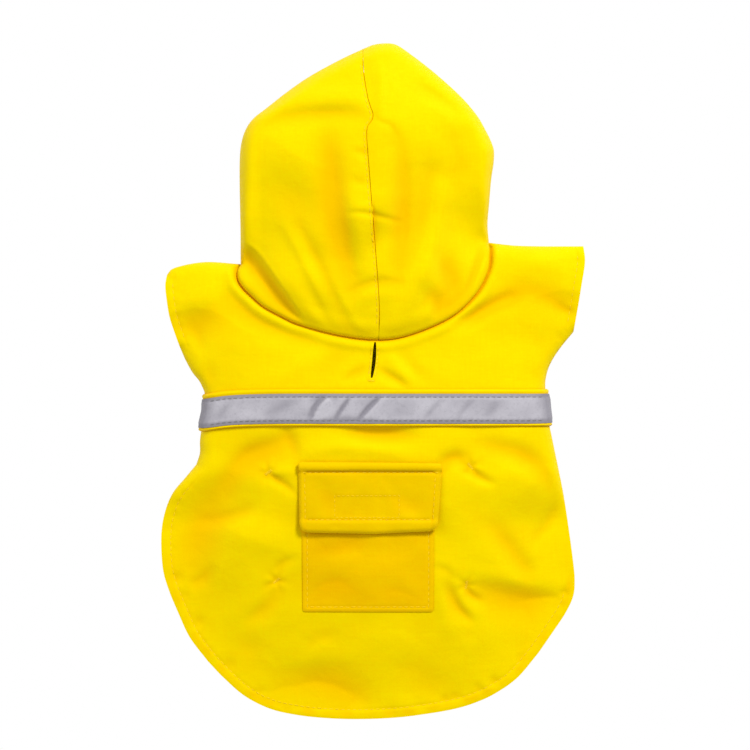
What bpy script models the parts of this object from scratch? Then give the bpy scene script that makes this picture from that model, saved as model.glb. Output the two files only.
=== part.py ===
"""Dog raincoat, size S, laid out flat with its back up.

Lengths are millimetres and become metres when a mesh is made. +Z is up, +Y runs
towards the head, and the coat rests on z = 0 with the origin under the middle of
its outline. Every piece of cloth is a wall between an outer surface and the same
surface moved in by the wall's thickness.
"""

import bmesh
import bpy
import numpy as np
from mathutils.bvhtree import BVHTree
from mathutils.geometry import delaunay_2d_cdt

MM = 0.001

# Cloth and clearances
WALL = 1.2                 # body cloth
TRIM_WALL = 1.0            # band, tape, pocket, flap and fastening
GAP = 0.3                  # between neighbouring pieces
HALF_GAP = GAP / 2

# Loft of the laid coat
SEAM_HEIGHT = 3.0          # the back meets the fronts this high at a closed side
SIDE_ROUNDING = 10.0       # width over which the back rounds down to its side
SIDE_RISE = 8.0
CROWN_REACH = 95.0
CROWN_RISE = 11.0
SKIRT_START_Y = -60.0      # the closed side ends and the skirt spreads to the table
SKIRT_END_Y = -100.0
SKIRT_ROUNDING = 62.0
TAIL_LOFT = 0.5            # share of the loft that is left at the tail
NECK_LOFT = 0.78
CUFF_LOFT = 0.62
CUFF_REACH = 34.0
TAIL_START_Y = -60.0       # from here the loft falls off over the next run to the tail
TAIL_RUN = 130.0
NECK_START_Y = -15.0       # and from here it falls off to the neck
NECK_RUN = 50.0
HEM_WAVE = 1.6
FOLD_MARGIN = 1.0          # folds fade out towards the edges
BODY_FOLD_FADE = 14.0
HOOD_FOLD_FADE = 16.0
FOLD_END_SHARE = 0.35      # of a fold's height that is left at its ends

# Hood
FOLD_HEIGHT = 10.0         # the hood's edge folds round this far above the table
FOLD_REACH = 34.0
HOOD_ROUNDING = 17.0
HOOD_SIDE_RISE = 13.0
HOOD_CROWN_REACH = 78.0
HOOD_CROWN_RISE = 17.0
NECK_TUCK = 1.0            # the hood starts this far below the yoke's edge
NECK_ROUNDING = 9.0
NECK_RISE = 12.0
NECK_REACH = 55.0
NECK_CROWN = 18.0
NECK_RELEASE = 60.0        # lets go of the neck's shape further up
SEAM_VALLEY = 1.2
SEAM_VALLEY_WIDTH = 3.0
SEAM_VALLEY_FADE = 10.0
DOME_BLEND = 8.0           # softens where the hood's two rises meet
DOME_BLEND_REACH = 16.0
FACE_SPACING = 3.0         # spreads the hood's rows along the face opening

# Band and tape, measured up and down from the seam that they cover
BAND_TOP = 13.9
BAND_BOTTOM = -12.3
TAPE_HALF = 10.3

# Belly fastening
OVERLAP_HALF = 12.5
OVERLAP_START = 12.0       # the fronts only meet edge to edge this far below the throat
OVERLAP_RUN = 26.0
OVERLAP_LIFT = WALL + 2 * TRIM_WALL + 4 * GAP
LAP_RISE_START = 12.0      # the upper front starts to rise this far outside the lower one
LAP_RISE_RUN = 10.0
FASTENER_SIZE = (18.0, 56.0)
FASTENER_CENTRE = (0.0, -14.0)
FASTENER_CORNER = 2.0
FRONT_WIDTH = 135.0
FRONT_LENGTH = 130.0
REAR_SAG = 4.0             # the fronts' rear edge dips this far at their middles

WAIST_WIDTH = 240.0

# Leash slit
SLIT_TOP = (1.2, 25.5)
SLIT_BOTTOM = (-1.0, 2.0)
SLIT_WIDTH = 1.6
SLIT_LEVEL = 18.0
ABOVE_ALL = 100.0          # higher than any of the coat

# Pocket and flap, as left, right, bottom and top
POCKET_SIDES = (-49.0, 42.0, -160.5, -66.0)
FLAP_SIDES = (-51.5, 46.0, -104.5, -57.0)
POCKET_LIFT = 0.5          # clears the panel's facets
POCKET_CORNER = 5.0
FLAP_CORNER = 6.0

# Outline of the coat in plan, run by run
HOOD_LEFT_EDGE = [(-7.0, 232.0), (-23.0, 224.5), (-44.0, 213.0), (-60.0, 202.0), (-74.0, 191.0),
                  (-83.5, 183.5), (-89.0, 175.5), (-92.0, 165.5), (-93.0, 153.5), (-93.0, 134.0),
                  (-92.5, 108.0), (-92.5, 82.0)]
HOOD_RIGHT_EDGE = [(-7.0, 232.0), (0.5, 235.0), (9.0, 236.0), (16.0, 235.0), (24.0, 230.0),
                   (38.5, 219.0), (52.0, 207.5), (63.5, 196.5), (73.0, 185.0), (79.0, 174.5),
                   (83.0, 166.0), (84.5, 160.0), (84.0, 151.0), (82.5, 141.0), (81.0, 123.5),
                   (80.0, 109.5), (81.0, 97.0)]
HOOD_SEAM = [(-7.0, 232.0), (-6.5, 216.5), (-2.0, 192.0), (-3.0, 177.5), (-3.5, 162.0),
             (-1.5, 134.0), (1.5, 97.0), (5.0, 54.0), (4.0, 29.0)]
NECK = [(-92.5, 82.0), (-92.5, 73.0), (-86.0, 62.5), (-77.5, 55.0), (-65.0, 48.0), (-51.0, 41.5),
        (-23.0, 32.0), (4.0, 29.0), (26.0, 32.5), (54.0, 44.5), (71.5, 60.5), (80.0, 76.5),
        (81.5, 88.0), (81.0, 97.0)]
FACE_LEFT = [(-5.0, 177.5), (-35.0, 172.0), (-59.0, 152.0), (-68.0, 125.0), (-61.0, 100.0),
             (-36.0, 77.0), (0.0, 59.0)]
FACE_RIGHT = [(-5.0, 177.5), (27.0, 172.0), (51.0, 152.0), (59.0, 127.0), (54.0, 104.0),
              (34.0, 81.0), (0.0, 59.0)]
NECKLINE_LEFT = [(-92.5, 82.0), (0.0, 59.0)]
NECKLINE_RIGHT = [(81.0, 97.0), (0.0, 59.0)]
SHOULDER_LEFT = [(-144.0, 74.5), (-138.5, 79.5), (-117.5, 83.5), (-92.5, 82.0)]
SHOULDER_RIGHT = [(81.0, 97.0), (99.5, 95.0), (120.5, 94.5), (147.0, 94.5)]
CUFF_LEFT = [(-134.5, 23.0), (-138.5, 34.0), (-142.0, 45.0), (-144.0, 57.0), (-145.0, 67.0),
             (-144.0, 74.5)]
CUFF_RIGHT = [(140.0, 34.5), (143.0, 51.5), (145.5, 67.0), (148.0, 83.5), (147.0, 94.5)]
UNDERARM_LEFT = [(-118.0, -6.5), (-121.5, 0.5), (-126.0, 6.0), (-131.0, 15.0), (-134.5, 23.0)]
UNDERARM_RIGHT = [(120.5, -6.5), (120.5, 0.5), (122.5, 9.0), (126.5, 17.0), (132.5, 25.5),
                  (140.0, 34.5)]
WAIST_LEFT = [(-120.0, -34.0), (-118.5, -27.0), (-117.0, -20.0), (-117.0, -13.0), (-118.0, -6.5)]
WAIST_RIGHT = [(124.0, -34.0), (122.5, -27.0), (121.5, -20.0), (121.0, -13.0), (120.5, -6.5)]
SIDE_LEFT = [(-120.0, -34.0), (-121.0, -42.0), (-121.0, -50.0), (-123.5, -58.0)]
SIDE_RIGHT = [(124.0, -34.0), (126.5, -46.0), (129.0, -58.0)]
SKIRT_LEFT = [(-123.5, -58.0), (-131.0, -67.0), (-140.0, -78.0), (-145.5, -91.5),
              (-148.0, -107.5), (-147.0, -130.0), (-143.0, -145.0), (-136.0, -162.0),
              (-128.0, -179.0), (-115.5, -195.5)]
SKIRT_RIGHT = [(129.0, -58.0), (133.0, -78.0), (136.5, -100.5), (140.0, -126.5), (141.0, -139.0),
               (140.0, -150.0), (134.5, -162.0), (124.5, -177.0), (115.5, -190.0)]
HEM = [(-115.5, -195.5), (-104.5, -207.0), (-89.5, -220.0), (-71.5, -229.0), (-51.0, -233.5),
       (-30.0, -235.5), (-9.0, -236.0), (15.5, -235.0), (36.5, -232.5), (56.5, -229.0),
       (71.5, -224.5), (85.5, -218.0), (101.0, -207.0), (115.5, -190.0)]
BACK_SEAM = [(-117.0, -21.5), (-96.5, -20.5), (-65.0, -19.0), (0.0, -19.0), (61.0, -19.0),
             (121.5, -19.0)]

# Largest folds: from, to, sideways bow as a share of the length, width, height
BODY_FOLDS = [
    # x1, y1, x2, y2, bow, width, height
    (-131.5, 44.0, -107.0, 47.0, 0.10, 7.0, -1.4),
    (-129.5, 51.0, -112.5, 60.0, 0.05, 7.0, 1.3),
    (75.0, 48.0, 109.0, 77.0, 0.12, 7.0, -1.8),
    (109.0, 77.0, 136.0, 54.0, 0.10, 7.0, -1.4),
    (-121.0, -94.0, -85.5, -92.0, 0.08, 9.0, -2.0),
    (-93.0, -135.5, -68.0, -140.0, 0.00, 8.0, -1.4),
    (-70.0, -146.5, -86.0, -170.0, -0.15, 8.0, -1.6),
    (-57.5, -189.5, -35.5, -174.5, 0.00, 8.0, -1.5),
    (-67.0, -212.0, -31.5, -200.5, -0.12, 8.0, -1.4),
    (80.5, -46.5, 124.5, -71.0, 0.12, 8.0, -2.0),
    (130.0, -85.0, 115.0, -111.0, 0.00, 8.0, -1.5),
    (87.5, -100.0, 111.0, -133.0, 0.10, 8.0, -1.5),
    (72.0, -139.0, 122.0, -155.0, 0.06, 8.0, -2.0),
    (75.0, -129.0, 120.0, -144.0, 0.04, 8.0, 1.4),
    (50.5, -133.5, 68.0, -168.0, -0.12, 8.0, -1.4),
]
HOOD_FOLDS = [
    (-49.0, 111.0, -12.0, 37.0, -0.04, 7.0, -3.0),
    (-60.0, 104.0, -27.0, 40.0, -0.04, 8.0, 1.8),
    (-33.0, 172.0, -13.5, 64.0, -0.04, 8.0, -2.4),
    (38.0, 137.0, 21.0, 54.0, 0.12, 8.0, -2.4),
    (42.0, 104.0, 18.0, 39.5, 0.08, 7.0, 1.8),
    (-82.0, 179.5, -46.0, 187.0, 0.00, 8.0, -1.8),
    (-42.0, 187.0, -2.0, 187.0, 0.00, 8.0, -1.6),
    (-87.5, 94.0, -40.5, 39.5, 0.10, 7.0, -3.0),
    (80.5, 87.0, 64.0, 55.0, 0.10, 7.0, -2.2),
    (33.5, 205.0, 61.0, 188.0, 0.00, 8.0, -1.8),
    (-82.0, 153.5, -53.0, 121.0, 0.05, 9.0, -1.8),
    (45.0, 178.0, 62.0, 146.0, 0.10, 9.0, -1.6),
]

# Meshing
EDGE_SPACING = 8.0                         # between points along an edge
LAYER_CLEARANCE = 0.93                     # of a layer's step to every other run
ON_EDGE = 0.02                             # nearer than this is on the edge
LEVEL_ROWS = 60                            # samples down the fronts' lapped edges
FRONT_COLUMNS = 5
FRONT_ROWS = 7
SHARP_ANGLE = 40.0
SIDE_STEPS = [0.5, 1.8, 4.5, 9.0]          # layers of points inside a closed side
TURN_STEPS = [0.5, 1.5, 3.5]               # and inside the fronts' turned-up edge
HOOD_STEPS = [0.6, 2.4, 6.5, 13.0]         # inside the hood's folded edge
NECK_STEPS = [0.6, 2.8, 8.0]               # and above its neck
LAP_STEPS = [2.0, 4.5, 7.0, 9.5, 12.0]     # across the lapped front's rise
UNDER_TURNS = [28.0, 58.0, 90.0]           # degrees round the hood's fold
UNDER_SHARES = [0.33, 0.67, 1.0]           # and on to its face opening
WAIST_COLUMNS = 18
YOKE_LATTICE = 12.0
BACK_LATTICE = 14.0
HOOD_LATTICE = 11.0


def smooth_curve(points, spacing=1.5):
    """Points about `spacing` apart on a Catmull-Rom curve through `points`."""
    knots = np.array(points, dtype=float)
    first = 2 * knots[0] - knots[1]
    last = 2 * knots[-1] - knots[-2]
    guides = np.vstack([first, knots, last])
    pieces = []
    for a, b, c, d in zip(guides, guides[1:], guides[2:], guides[3:]):
        count = max(2, int(np.ceil(np.linalg.norm(c - b) / spacing)))
        t = (np.arange(count) / count)[:, None]
        linear = 2 * b + (c - a) * t
        square = (2 * a - 5 * b + 4 * c - d) * t ** 2
        cube = (3 * b - a - 3 * c + d) * t ** 3
        pieces.append(0.5 * (linear + square + cube))
    pieces.append(knots[-1:])
    return np.vstack(pieces)


def join(*runs):
    """One polyline from runs that follow each other."""
    kept = [run[:-1] for run in runs[:-1]]
    return np.vstack(kept + [runs[-1]])


def travelled(curve):
    """Length run so far at each point of a polyline."""
    steps = np.linalg.norm(np.diff(curve, axis=0), axis=1)
    return np.concatenate([[0.0], np.cumsum(steps)])


def along(values, shares, curve=None):
    """Values at the given shares of a polyline's length, by default its own points."""
    run = travelled(values if curve is None else curve)
    places = np.asarray(shares) * run[-1]
    return np.column_stack([np.interp(places, run, values[:, axis]) for axis in (0, 1)])


def left_of(curve):
    """Unit vectors to the left of a polyline's own direction."""
    direction = np.gradient(curve, axis=0)
    direction /= np.linalg.norm(direction, axis=1)[:, None]
    return np.column_stack([-direction[:, 1], direction[:, 0]])


def nearest(x, y, curve):
    """Distance to a polyline and the run along it of the nearest place."""
    shape = np.shape(x)
    points = np.column_stack([np.ravel(x), np.ravel(y)])
    start = curve[:-1]
    span = np.diff(curve, axis=0)
    span_square = (span ** 2).sum(axis=1)
    run = travelled(curve)
    offset = points[:, None, :] - start[None, :, :]
    share = np.clip((offset * span).sum(axis=2) / span_square, 0.0, 1.0)
    miss = np.linalg.norm(offset - share[:, :, None] * span, axis=2)
    best = miss.argmin(axis=1)
    rows = np.arange(len(points))
    place = run[best] + share[rows, best] * np.sqrt(span_square[best])
    return miss[rows, best].reshape(shape), place.reshape(shape)


def rounded(distance, width):
    """Quarter-ellipse rise from 0 at an edge to 1 at `width` from it."""
    rest = 1.0 - np.clip(distance / width, 0.0, 1.0)
    return np.sqrt(1.0 - rest ** 2)


def ease(value):
    """Smooth step from 0 to 1."""
    t = np.clip(value, 0.0, 1.0)
    return t * t * (3.0 - 2.0 * t)


def ease_out(value):
    """Rise that starts straight and levels off at 1."""
    return 1.0 - (1.0 - np.clip(value, 0.0, 1.0)) ** 2


# Runs of the outline as fine polylines
hood_left_edge = smooth_curve(HOOD_LEFT_EDGE)
hood_right_edge = smooth_curve(HOOD_RIGHT_EDGE)
hood_seam = smooth_curve(HOOD_SEAM)
neck = smooth_curve(NECK)
face_left = smooth_curve(FACE_LEFT)
face_right = smooth_curve(FACE_RIGHT)
neckline_left = smooth_curve(NECKLINE_LEFT)
neckline_right = smooth_curve(NECKLINE_RIGHT)
shoulder_left = smooth_curve(SHOULDER_LEFT)
shoulder_right = smooth_curve(SHOULDER_RIGHT)
cuff_left = smooth_curve(CUFF_LEFT)
cuff_right = smooth_curve(CUFF_RIGHT)
underarm_left = smooth_curve(UNDERARM_LEFT)
underarm_right = smooth_curve(UNDERARM_RIGHT)
waist_left = smooth_curve(WAIST_LEFT)
waist_right = smooth_curve(WAIST_RIGHT)
side_left = smooth_curve(SIDE_LEFT)
side_right = smooth_curve(SIDE_RIGHT)
skirt_left = smooth_curve(SKIRT_LEFT)
skirt_right = smooth_curve(SKIRT_RIGHT)
hem = smooth_curve(HEM)
back_seam = smooth_curve(BACK_SEAM)
closed_left = join(side_left[::-1], waist_left, underarm_left)
closed_right = join(side_right[::-1], waist_right, underarm_right)
skirt_edge = join(skirt_left, hem, skirt_right[::-1])
hood_edge = join(hood_left_edge[::-1], hood_right_edge)


def fold_relief(x, y, folds):
    """Height that a table of soft folds adds."""
    relief = np.zeros(np.shape(x))
    for x1, y1, x2, y2, bow, width, height in folds:
        middle = ((x1 + x2) / 2 - bow * (y2 - y1), (y1 + y2) / 2 + bow * (x2 - x1))
        line = smooth_curve([(x1, y1), middle, (x2, y2)], spacing=6.0)
        miss, place = nearest(x, y, line)
        share = place / travelled(line)[-1]
        swell = np.sin(np.pi * np.clip(share, 0.0, 1.0))
        taper = FOLD_END_SHARE + (1.0 - FOLD_END_SHARE) * swell
        relief = relief + height * taper * np.exp(-(miss / width) ** 2)
    return relief


def closed_distance(x, y):
    """Distance to the nearest edge where back and fronts are sewn together."""
    closed = (shoulder_left, shoulder_right, closed_left, closed_right)
    return np.minimum.reduce([nearest(x, y, run)[0] for run in closed])


def edge_distance(x, y):
    """Distance to the nearest edge of the back, its open cuffs left out."""
    return np.minimum(closed_distance(x, y), nearest(x, y, skirt_edge)[0])


def skirt_share(y):
    """0 along the closed sides, 1 where the skirt lies on the table."""
    return ease((SKIRT_START_Y - y) / (SKIRT_START_Y - SKIRT_END_Y))


def hem_wave(x, y):
    """Long uneven waves that lift the skirt's hem off the table."""
    turn = np.arctan2(x, SKIRT_START_Y - y)
    wave = 0.5 + 0.3 * np.sin(5.0 * turn + 0.6) + 0.2 * np.sin(11.0 * turn + 2.0)
    return HEM_WAVE * np.clip(wave, 0.0, 1.0)


def back_height(x, y):
    """Outer surface of the yoke and the back panel."""
    to_edge = edge_distance(x, y)
    to_cuff = np.minimum(nearest(x, y, cuff_left)[0], nearest(x, y, cuff_right)[0])
    skirt = skirt_share(y)
    rim = (1.0 - skirt) * (SEAM_HEIGHT + GAP) + skirt * (WALL + hem_wave(x, y))
    side = (1.0 - skirt) * rounded(to_edge, SIDE_ROUNDING) + skirt * ease(to_edge / SKIRT_ROUNDING)
    crown = (1.0 - skirt) * ease_out(to_edge / CROWN_REACH) + skirt * ease(to_edge / CROWN_REACH)
    tail = 1.0 - (1.0 - TAIL_LOFT) * ease((TAIL_START_Y - y) / TAIL_RUN)
    shoulder = 1.0 - (1.0 - NECK_LOFT) * ease((y - NECK_START_Y) / NECK_RUN)
    cuff = 1.0 - (1.0 - CUFF_LOFT) * (1.0 - ease(to_cuff / CUFF_REACH))
    loft = (SIDE_RISE * side + CROWN_RISE * crown) * tail * shoulder * cuff
    relief = fold_relief(x, y, BODY_FOLDS) * ease((to_edge - FOLD_MARGIN) / BODY_FOLD_FADE)
    return rim + loft + relief


def neck_height(place):
    """Height of the yoke's edge at a run along the neck seam."""
    levels = back_height(neck[:, 0], neck[:, 1])
    return np.interp(place, travelled(neck), levels) - NECK_TUCK


def fold_height(x, y):
    """Height at which the hood's edge folds round to its underside."""
    neck_end = np.where(x < 0.0, HOOD_LEFT_EDGE[-1][1], HOOD_RIGHT_EDGE[-1][1])
    start = SEAM_HEIGHT + HALF_GAP
    return start + (FOLD_HEIGHT - start) * ease((y - neck_end) / FOLD_REACH)


def hood_height(x, y):
    """Outer surface of the hood's upper side."""
    to_edge = nearest(x, y, hood_edge)[0]
    to_neck, place = nearest(x, y, neck)
    to_neck = np.maximum(to_neck - HALF_GAP, 0.0)
    to_seam = nearest(x, y, hood_seam)[0]
    dome = fold_height(x, y) + HOOD_SIDE_RISE * rounded(to_edge, HOOD_ROUNDING)
    dome = dome + HOOD_CROWN_RISE * ease_out(to_edge / HOOD_CROWN_REACH)
    rise = neck_height(place) + NECK_RISE * rounded(to_neck, NECK_ROUNDING)
    rise = rise + NECK_CROWN * ease_out(to_neck / NECK_REACH)
    rise = rise + NECK_RELEASE * ease((to_neck - NECK_REACH / 2) / NECK_REACH)
    inside = np.minimum(to_edge, to_neck)
    blend = DOME_BLEND * ease(inside / DOME_BLEND_REACH)
    height = 0.5 * (dome + rise - np.sqrt((dome - rise) ** 2 + blend ** 2))
    relief = fold_relief(x, y, HOOD_FOLDS) * ease((inside - FOLD_MARGIN) / HOOD_FOLD_FADE)
    valley = SEAM_VALLEY * np.exp(-(to_seam / SEAM_VALLEY_WIDTH) ** 2)
    valley = valley * ease(inside / SEAM_VALLEY_FADE)
    return height + relief - valley


def lower_front_edge(y):
    """Where the lower front ends, to the right of the middle."""
    throat = NECKLINE_LEFT[-1][1]
    return OVERLAP_HALF * ease((throat - OVERLAP_START - y) / OVERLAP_RUN) - GAP


def front_height(x, y, lift):
    """Underside of a front: flat on the table, turned up to its closed edges."""
    turned = SEAM_HEIGHT * (1.0 - rounded(closed_distance(x, y), SEAM_HEIGHT))
    rise = ease((lower_front_edge(y) + LAP_RISE_START - x) / LAP_RISE_RUN)
    rise = rise * ease((NECKLINE_LEFT[-1][1] - y) / OVERLAP_START)
    return turned + lift * rise


def even_shares(run):
    """Shares of a run's length about EDGE_SPACING apart, both ends included."""
    count = max(1, int(round(travelled(run)[-1] / EDGE_SPACING)))
    return np.linspace(0.0, 1.0, count + 1)


def spaced(run):
    """Points evenly spaced along a polyline."""
    return along(run, even_shares(run))


def beside(run, shares, distance):
    """Points at shares of a run's length, moved to its left by a distance."""
    return along(run, shares) + distance * along(left_of(run), shares, run)


def inside(points, outline):
    """Which points lie inside a closed outline."""
    x, y = points[:, 0][:, None], points[:, 1][:, None]
    x1, y1 = outline.T
    x2, y2 = np.roll(outline, -1, axis=0).T
    level = np.where(y1 == y2, 1.0, y2 - y1)
    crossing = ((y1 > y) != (y2 > y)) & (x < (x2 - x1) * (y - y1) / level + x1)
    return crossing.sum(axis=1) % 2 == 1


def layer_points(layers, outline):
    """Points in rows beside some runs of an outline, abreast of the runs' own points."""
    rows = [np.zeros((0, 2))]
    for run, shares, steps in layers:
        for side in (-1.0, 1.0):
            for step in steps:
                row = beside(run, shares, side * step)
                clear = np.minimum.reduce([nearest(*row.T, other)[0] for other, _, _ in layers])
                rows.append(row[(clear > LAYER_CLEARANCE * step) & inside(row, outline)])
    return np.vstack(rows)


def lattice_points(outline, spacing, layers):
    """A triangular lattice that keeps off the outline and its layers."""
    low, high = outline.min(axis=0), outline.max(axis=0)
    rise = spacing * np.sqrt(0.75)
    rows = np.arange(low[1] + rise / 2, high[1], rise)
    columns = np.arange(low[0], high[0] + spacing, spacing)
    points = [(x + spacing / 2 * (k % 2), y) for k, y in enumerate(rows) for x in columns]
    points = np.array(points)
    points = points[inside(points, outline)]
    closed = np.vstack([outline, outline[:1]])
    clear = nearest(*points.T, closed)[0] > 0.5 * spacing
    for run, _, steps in layers:
        clear &= nearest(*points.T, run)[0] > steps[-1] + 0.5 * spacing
    return points[clear]


def plan_mesh(outline, layers, spacing, fixed=None, fixed_zone=None):
    """Triangulated plan of a panel: points, faces that face up, and the outline's indices.

    `fixed` adds points, and `fixed_zone` tells, for points, where no others may come.
    """
    loose = np.vstack([layer_points(layers, outline),
                       lattice_points(outline, spacing, layers)])
    if fixed_zone is not None:
        loose = loose[~fixed_zone(loose)]
    if fixed is not None:
        loose = np.vstack([loose, fixed])
    border = list(range(len(outline)))
    given = np.vstack([outline, loose])
    made = delaunay_2d_cdt([tuple(point) for point in given], [], [border], 1, 0.00001)
    plan = np.array([given[sources[0]] for sources in made[3]])
    place = {source: index for index, sources in enumerate(made[3]) for source in sources}
    faces = [list(face) for face in made[2]]
    (ax, ay), (bx, by), (cx, cy) = plan[faces[0]]
    if (bx - ax) * (cy - ay) < (by - ay) * (cx - ax):
        faces = [face[::-1] for face in faces]
    return plan, faces, [place[index] for index in border]


def neck_shares():
    """Shares of the neck seam, close together near its ends, with one at the hood's seam."""
    length = travelled(neck)[-1]
    middle = nearest(*HOOD_SEAM[-1], neck)[1] / length
    near = np.array([0.0] + NECK_STEPS) / length
    left = np.linspace(near[-1], middle, int(middle * length / EDGE_SPACING))
    right = np.linspace(middle, 1.0 - near[-1], int((1.0 - middle) * length / EDGE_SPACING))
    return np.concatenate([near[:-1], left, right[1:], 1.0 - near[:-1][::-1]])


def waist_columns():
    """Shares across the waist, close together near its rounded ends."""
    near = np.array([0.0] + SIDE_STEPS) / WAIST_WIDTH
    middle = np.linspace(near[-1], 1.0 - near[-1], WAIST_COLUMNS)[1:-1]
    return np.concatenate([near, middle, 1.0 - near[::-1]])


def seam_row(offset):
    """A row across the waist, `offset` above the seam that the band covers."""
    level = BACK_SEAM[0][1] + offset
    left_x = np.interp(level, waist_left[:, 1], waist_left[:, 0])
    level = BACK_SEAM[-1][1] + offset
    right_x = np.interp(level, waist_right[:, 1], waist_right[:, 0])
    x = left_x + waist_columns() * (right_x - left_x)
    y = np.interp(x, back_seam[:, 0], back_seam[:, 1]) + offset
    return np.column_stack([x, y])


def graded(length, count, start_steps=(0.0,), end_steps=(0.0,)):
    """Shares of a length, with the given steps in millimetres from each end."""
    head = [step / length for step in start_steps]
    tail = [1.0 - step / length for step in reversed(end_steps)]
    middle = np.linspace(head[-1], tail[0], count + 2)[1:-1]
    return np.concatenate([head, middle, tail])


def material(name, color, roughness):
    """A plain Principled BSDF for one piece."""
    made = bpy.data.materials.new(name)
    made.use_nodes = True
    shader = made.node_tree.nodes["Principled BSDF"]
    shader.inputs["Base Color"].default_value = (*color, 1.0)
    shader.inputs["Roughness"].default_value = roughness
    return made


def point_normals(points, faces):
    """Area-weighted normal at each point."""
    corners = np.array([(face[0], b, c) for face in faces for b, c in zip(face[1:], face[2:])])
    a, b, c = points[corners[:, 0]], points[corners[:, 1]], points[corners[:, 2]]
    face_normal = np.cross(b - a, c - a)
    normals = np.zeros_like(points)
    for column in range(3):
        np.add.at(normals, corners[:, column], face_normal)
    return normals / np.linalg.norm(normals, axis=1)[:, None]


def add_object(name, points, faces, look):
    """Make a mesh object from points in millimetres."""
    mesh = bpy.data.meshes.new(name)
    mesh.from_pydata([tuple(p) for p in points * MM], [], faces)
    shape = bmesh.new()
    shape.from_mesh(mesh)
    bmesh.ops.triangulate(shape, faces=[f for f in shape.faces if len(f.verts) > 3])
    shape.to_mesh(mesh)
    shape.free()
    mesh.shade_smooth()
    mesh.set_sharp_from_angle(angle=np.radians(SHARP_ANGLE))
    made = bpy.data.objects.new(name, mesh)
    made.data.materials.append(look)
    bpy.context.scene.collection.objects.link(made)
    return made


def wall(name, outer, faces, thickness, look, rim_cut=None):
    """A closed wall of cloth: the outer surface, moved in by the thickness inside.

    `rim_cut` says how each point is cut at the rim: 1 moves the inner rim straight
    sideways, -1 straight down, and 0 along the surface's normal.
    """
    normals = point_normals(outer, faces)
    if rim_cut is not None:
        normals[:, 2] *= 1.0 - np.maximum(rim_cut, 0.0)
        normals[:, :2] *= (1.0 + np.minimum(rim_cut, 0.0))[:, None]
        normals /= np.linalg.norm(normals, axis=1)[:, None]
    inner = outer - thickness * normals
    count = len(outer)
    used = {(a, b) for face in faces for a, b in zip(face, face[1:] + face[:1])}
    rim = sorted((a, b) for a, b in used if (b, a) not in used)
    inner_faces = [[k + count for k in reversed(face)] for face in faces]
    rim_faces = [[b, a, a + count, b + count] for a, b in rim]
    return add_object(name, np.vstack([outer, inner]), faces + inner_faces + rim_faces, look)


def grid_faces(rows, columns):
    """Quads of a grid of points, stored row by row."""
    faces = []
    for r in range(rows - 1):
        for c in range(columns - 1):
            first = r * columns + c
            faces.append([first, first + 1, first + columns + 1, first + columns])
    return faces


def panel(name, plan, faces, look):
    """The yoke or the back panel as a wall on the back's surface."""
    x, y = plan.T
    closed = edge_distance(x, y) < ON_EDGE
    seamed = np.minimum(nearest(x, y, neck)[0], nearest(x, y, back_seam)[0]) < GAP
    rim_cut = np.where(closed, 1.0 - skirt_share(y), -1.0 * seamed)
    outer = np.column_stack([x, y, back_height(x, y)])
    return wall(name, outer, faces, WALL, look, rim_cut)


def yoke_outline():
    """The yoke's outline, anticlockwise from the left end of the seam."""
    rows = [seam_row(offset) for offset in (HALF_GAP, TAPE_HALF, BAND_TOP)]
    right = [rows[1][-1:], rows[2][-1:], spaced(underarm_right)[1:], spaced(cuff_right)[1:],
             spaced(shoulder_right)[::-1][1:-1]]
    left = [spaced(shoulder_left)[::-1][1:], spaced(cuff_left)[::-1][1:],
            spaced(underarm_left)[::-1][1:-1], rows[2][:1], rows[1][:1]]
    neck_edge = beside(neck, neck_shares(), -HALF_GAP)[::-1]
    return np.vstack([rows[0], *right, neck_edge, *left]), np.vstack(rows[1:])


def make_yoke(look):
    """The shoulders and sleeves, from the neck down to the seam under the band."""
    outline, fixed = yoke_outline()
    closed = (shoulder_left, shoulder_right, underarm_left, underarm_right)
    layers = [(run, even_shares(run), SIDE_STEPS) for run in closed]
    band_edge = BACK_SEAM[-1][1] + BAND_TOP + SIDE_STEPS[-1] / 2
    plan, faces, _ = plan_mesh(outline, layers, YOKE_LATTICE, fixed, lambda p: p[:, 1] < band_edge)
    yoke = panel("yoke", plan, faces, look)
    cut_slit(yoke)


def make_back(look):
    """The back from the seam under the band to the hem."""
    rows = [seam_row(offset) for offset in (-HALF_GAP, -TAPE_HALF, BAND_BOTTOM)]
    outline = np.vstack([rows[0][::-1], rows[1][:1], rows[2][:1], spaced(side_left)[1:],
                         spaced(skirt_left)[1:], spaced(hem)[1:-1],
                         spaced(skirt_right)[::-1][:-1], spaced(side_right)[::-1][:-1],
                         rows[2][-1:], rows[1][-1:]])
    band_edge = BACK_SEAM[-1][1] + BAND_BOTTOM - SIDE_STEPS[-1] / 2
    layers = [(run, even_shares(run), SIDE_STEPS) for run in (side_left, side_right)]
    plan, faces, _ = plan_mesh(outline, layers, BACK_LATTICE, np.vstack(rows[1:]),
                               lambda p: p[:, 1] > band_edge)
    return panel("back_panel", plan, faces, look)


def cut_slit(yoke):
    """Cut the leash slit through the yoke."""
    top, bottom = np.array(SLIT_TOP), np.array(SLIT_BOTTOM)
    middle = (top + bottom) / 2
    run = top - bottom
    bpy.ops.mesh.primitive_cube_add(size=1.0)
    cutter = bpy.context.object
    cutter.name = "slit_cutter"
    cutter.scale = (SLIT_WIDTH * MM, np.linalg.norm(run) * MM, 2 * SLIT_LEVEL * MM)
    cutter.location = (middle[0] * MM, middle[1] * MM, SLIT_LEVEL * MM)
    cutter.rotation_euler = (0.0, 0.0, -np.arctan2(run[0], run[1]))
    cutter.hide_render = True
    cutter.display_type = "WIRE"
    cut = yoke.modifiers.new("leash_slit", "BOOLEAN")
    cut.operation = "DIFFERENCE"
    cut.solver = "EXACT"
    cut.object = cutter


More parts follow.
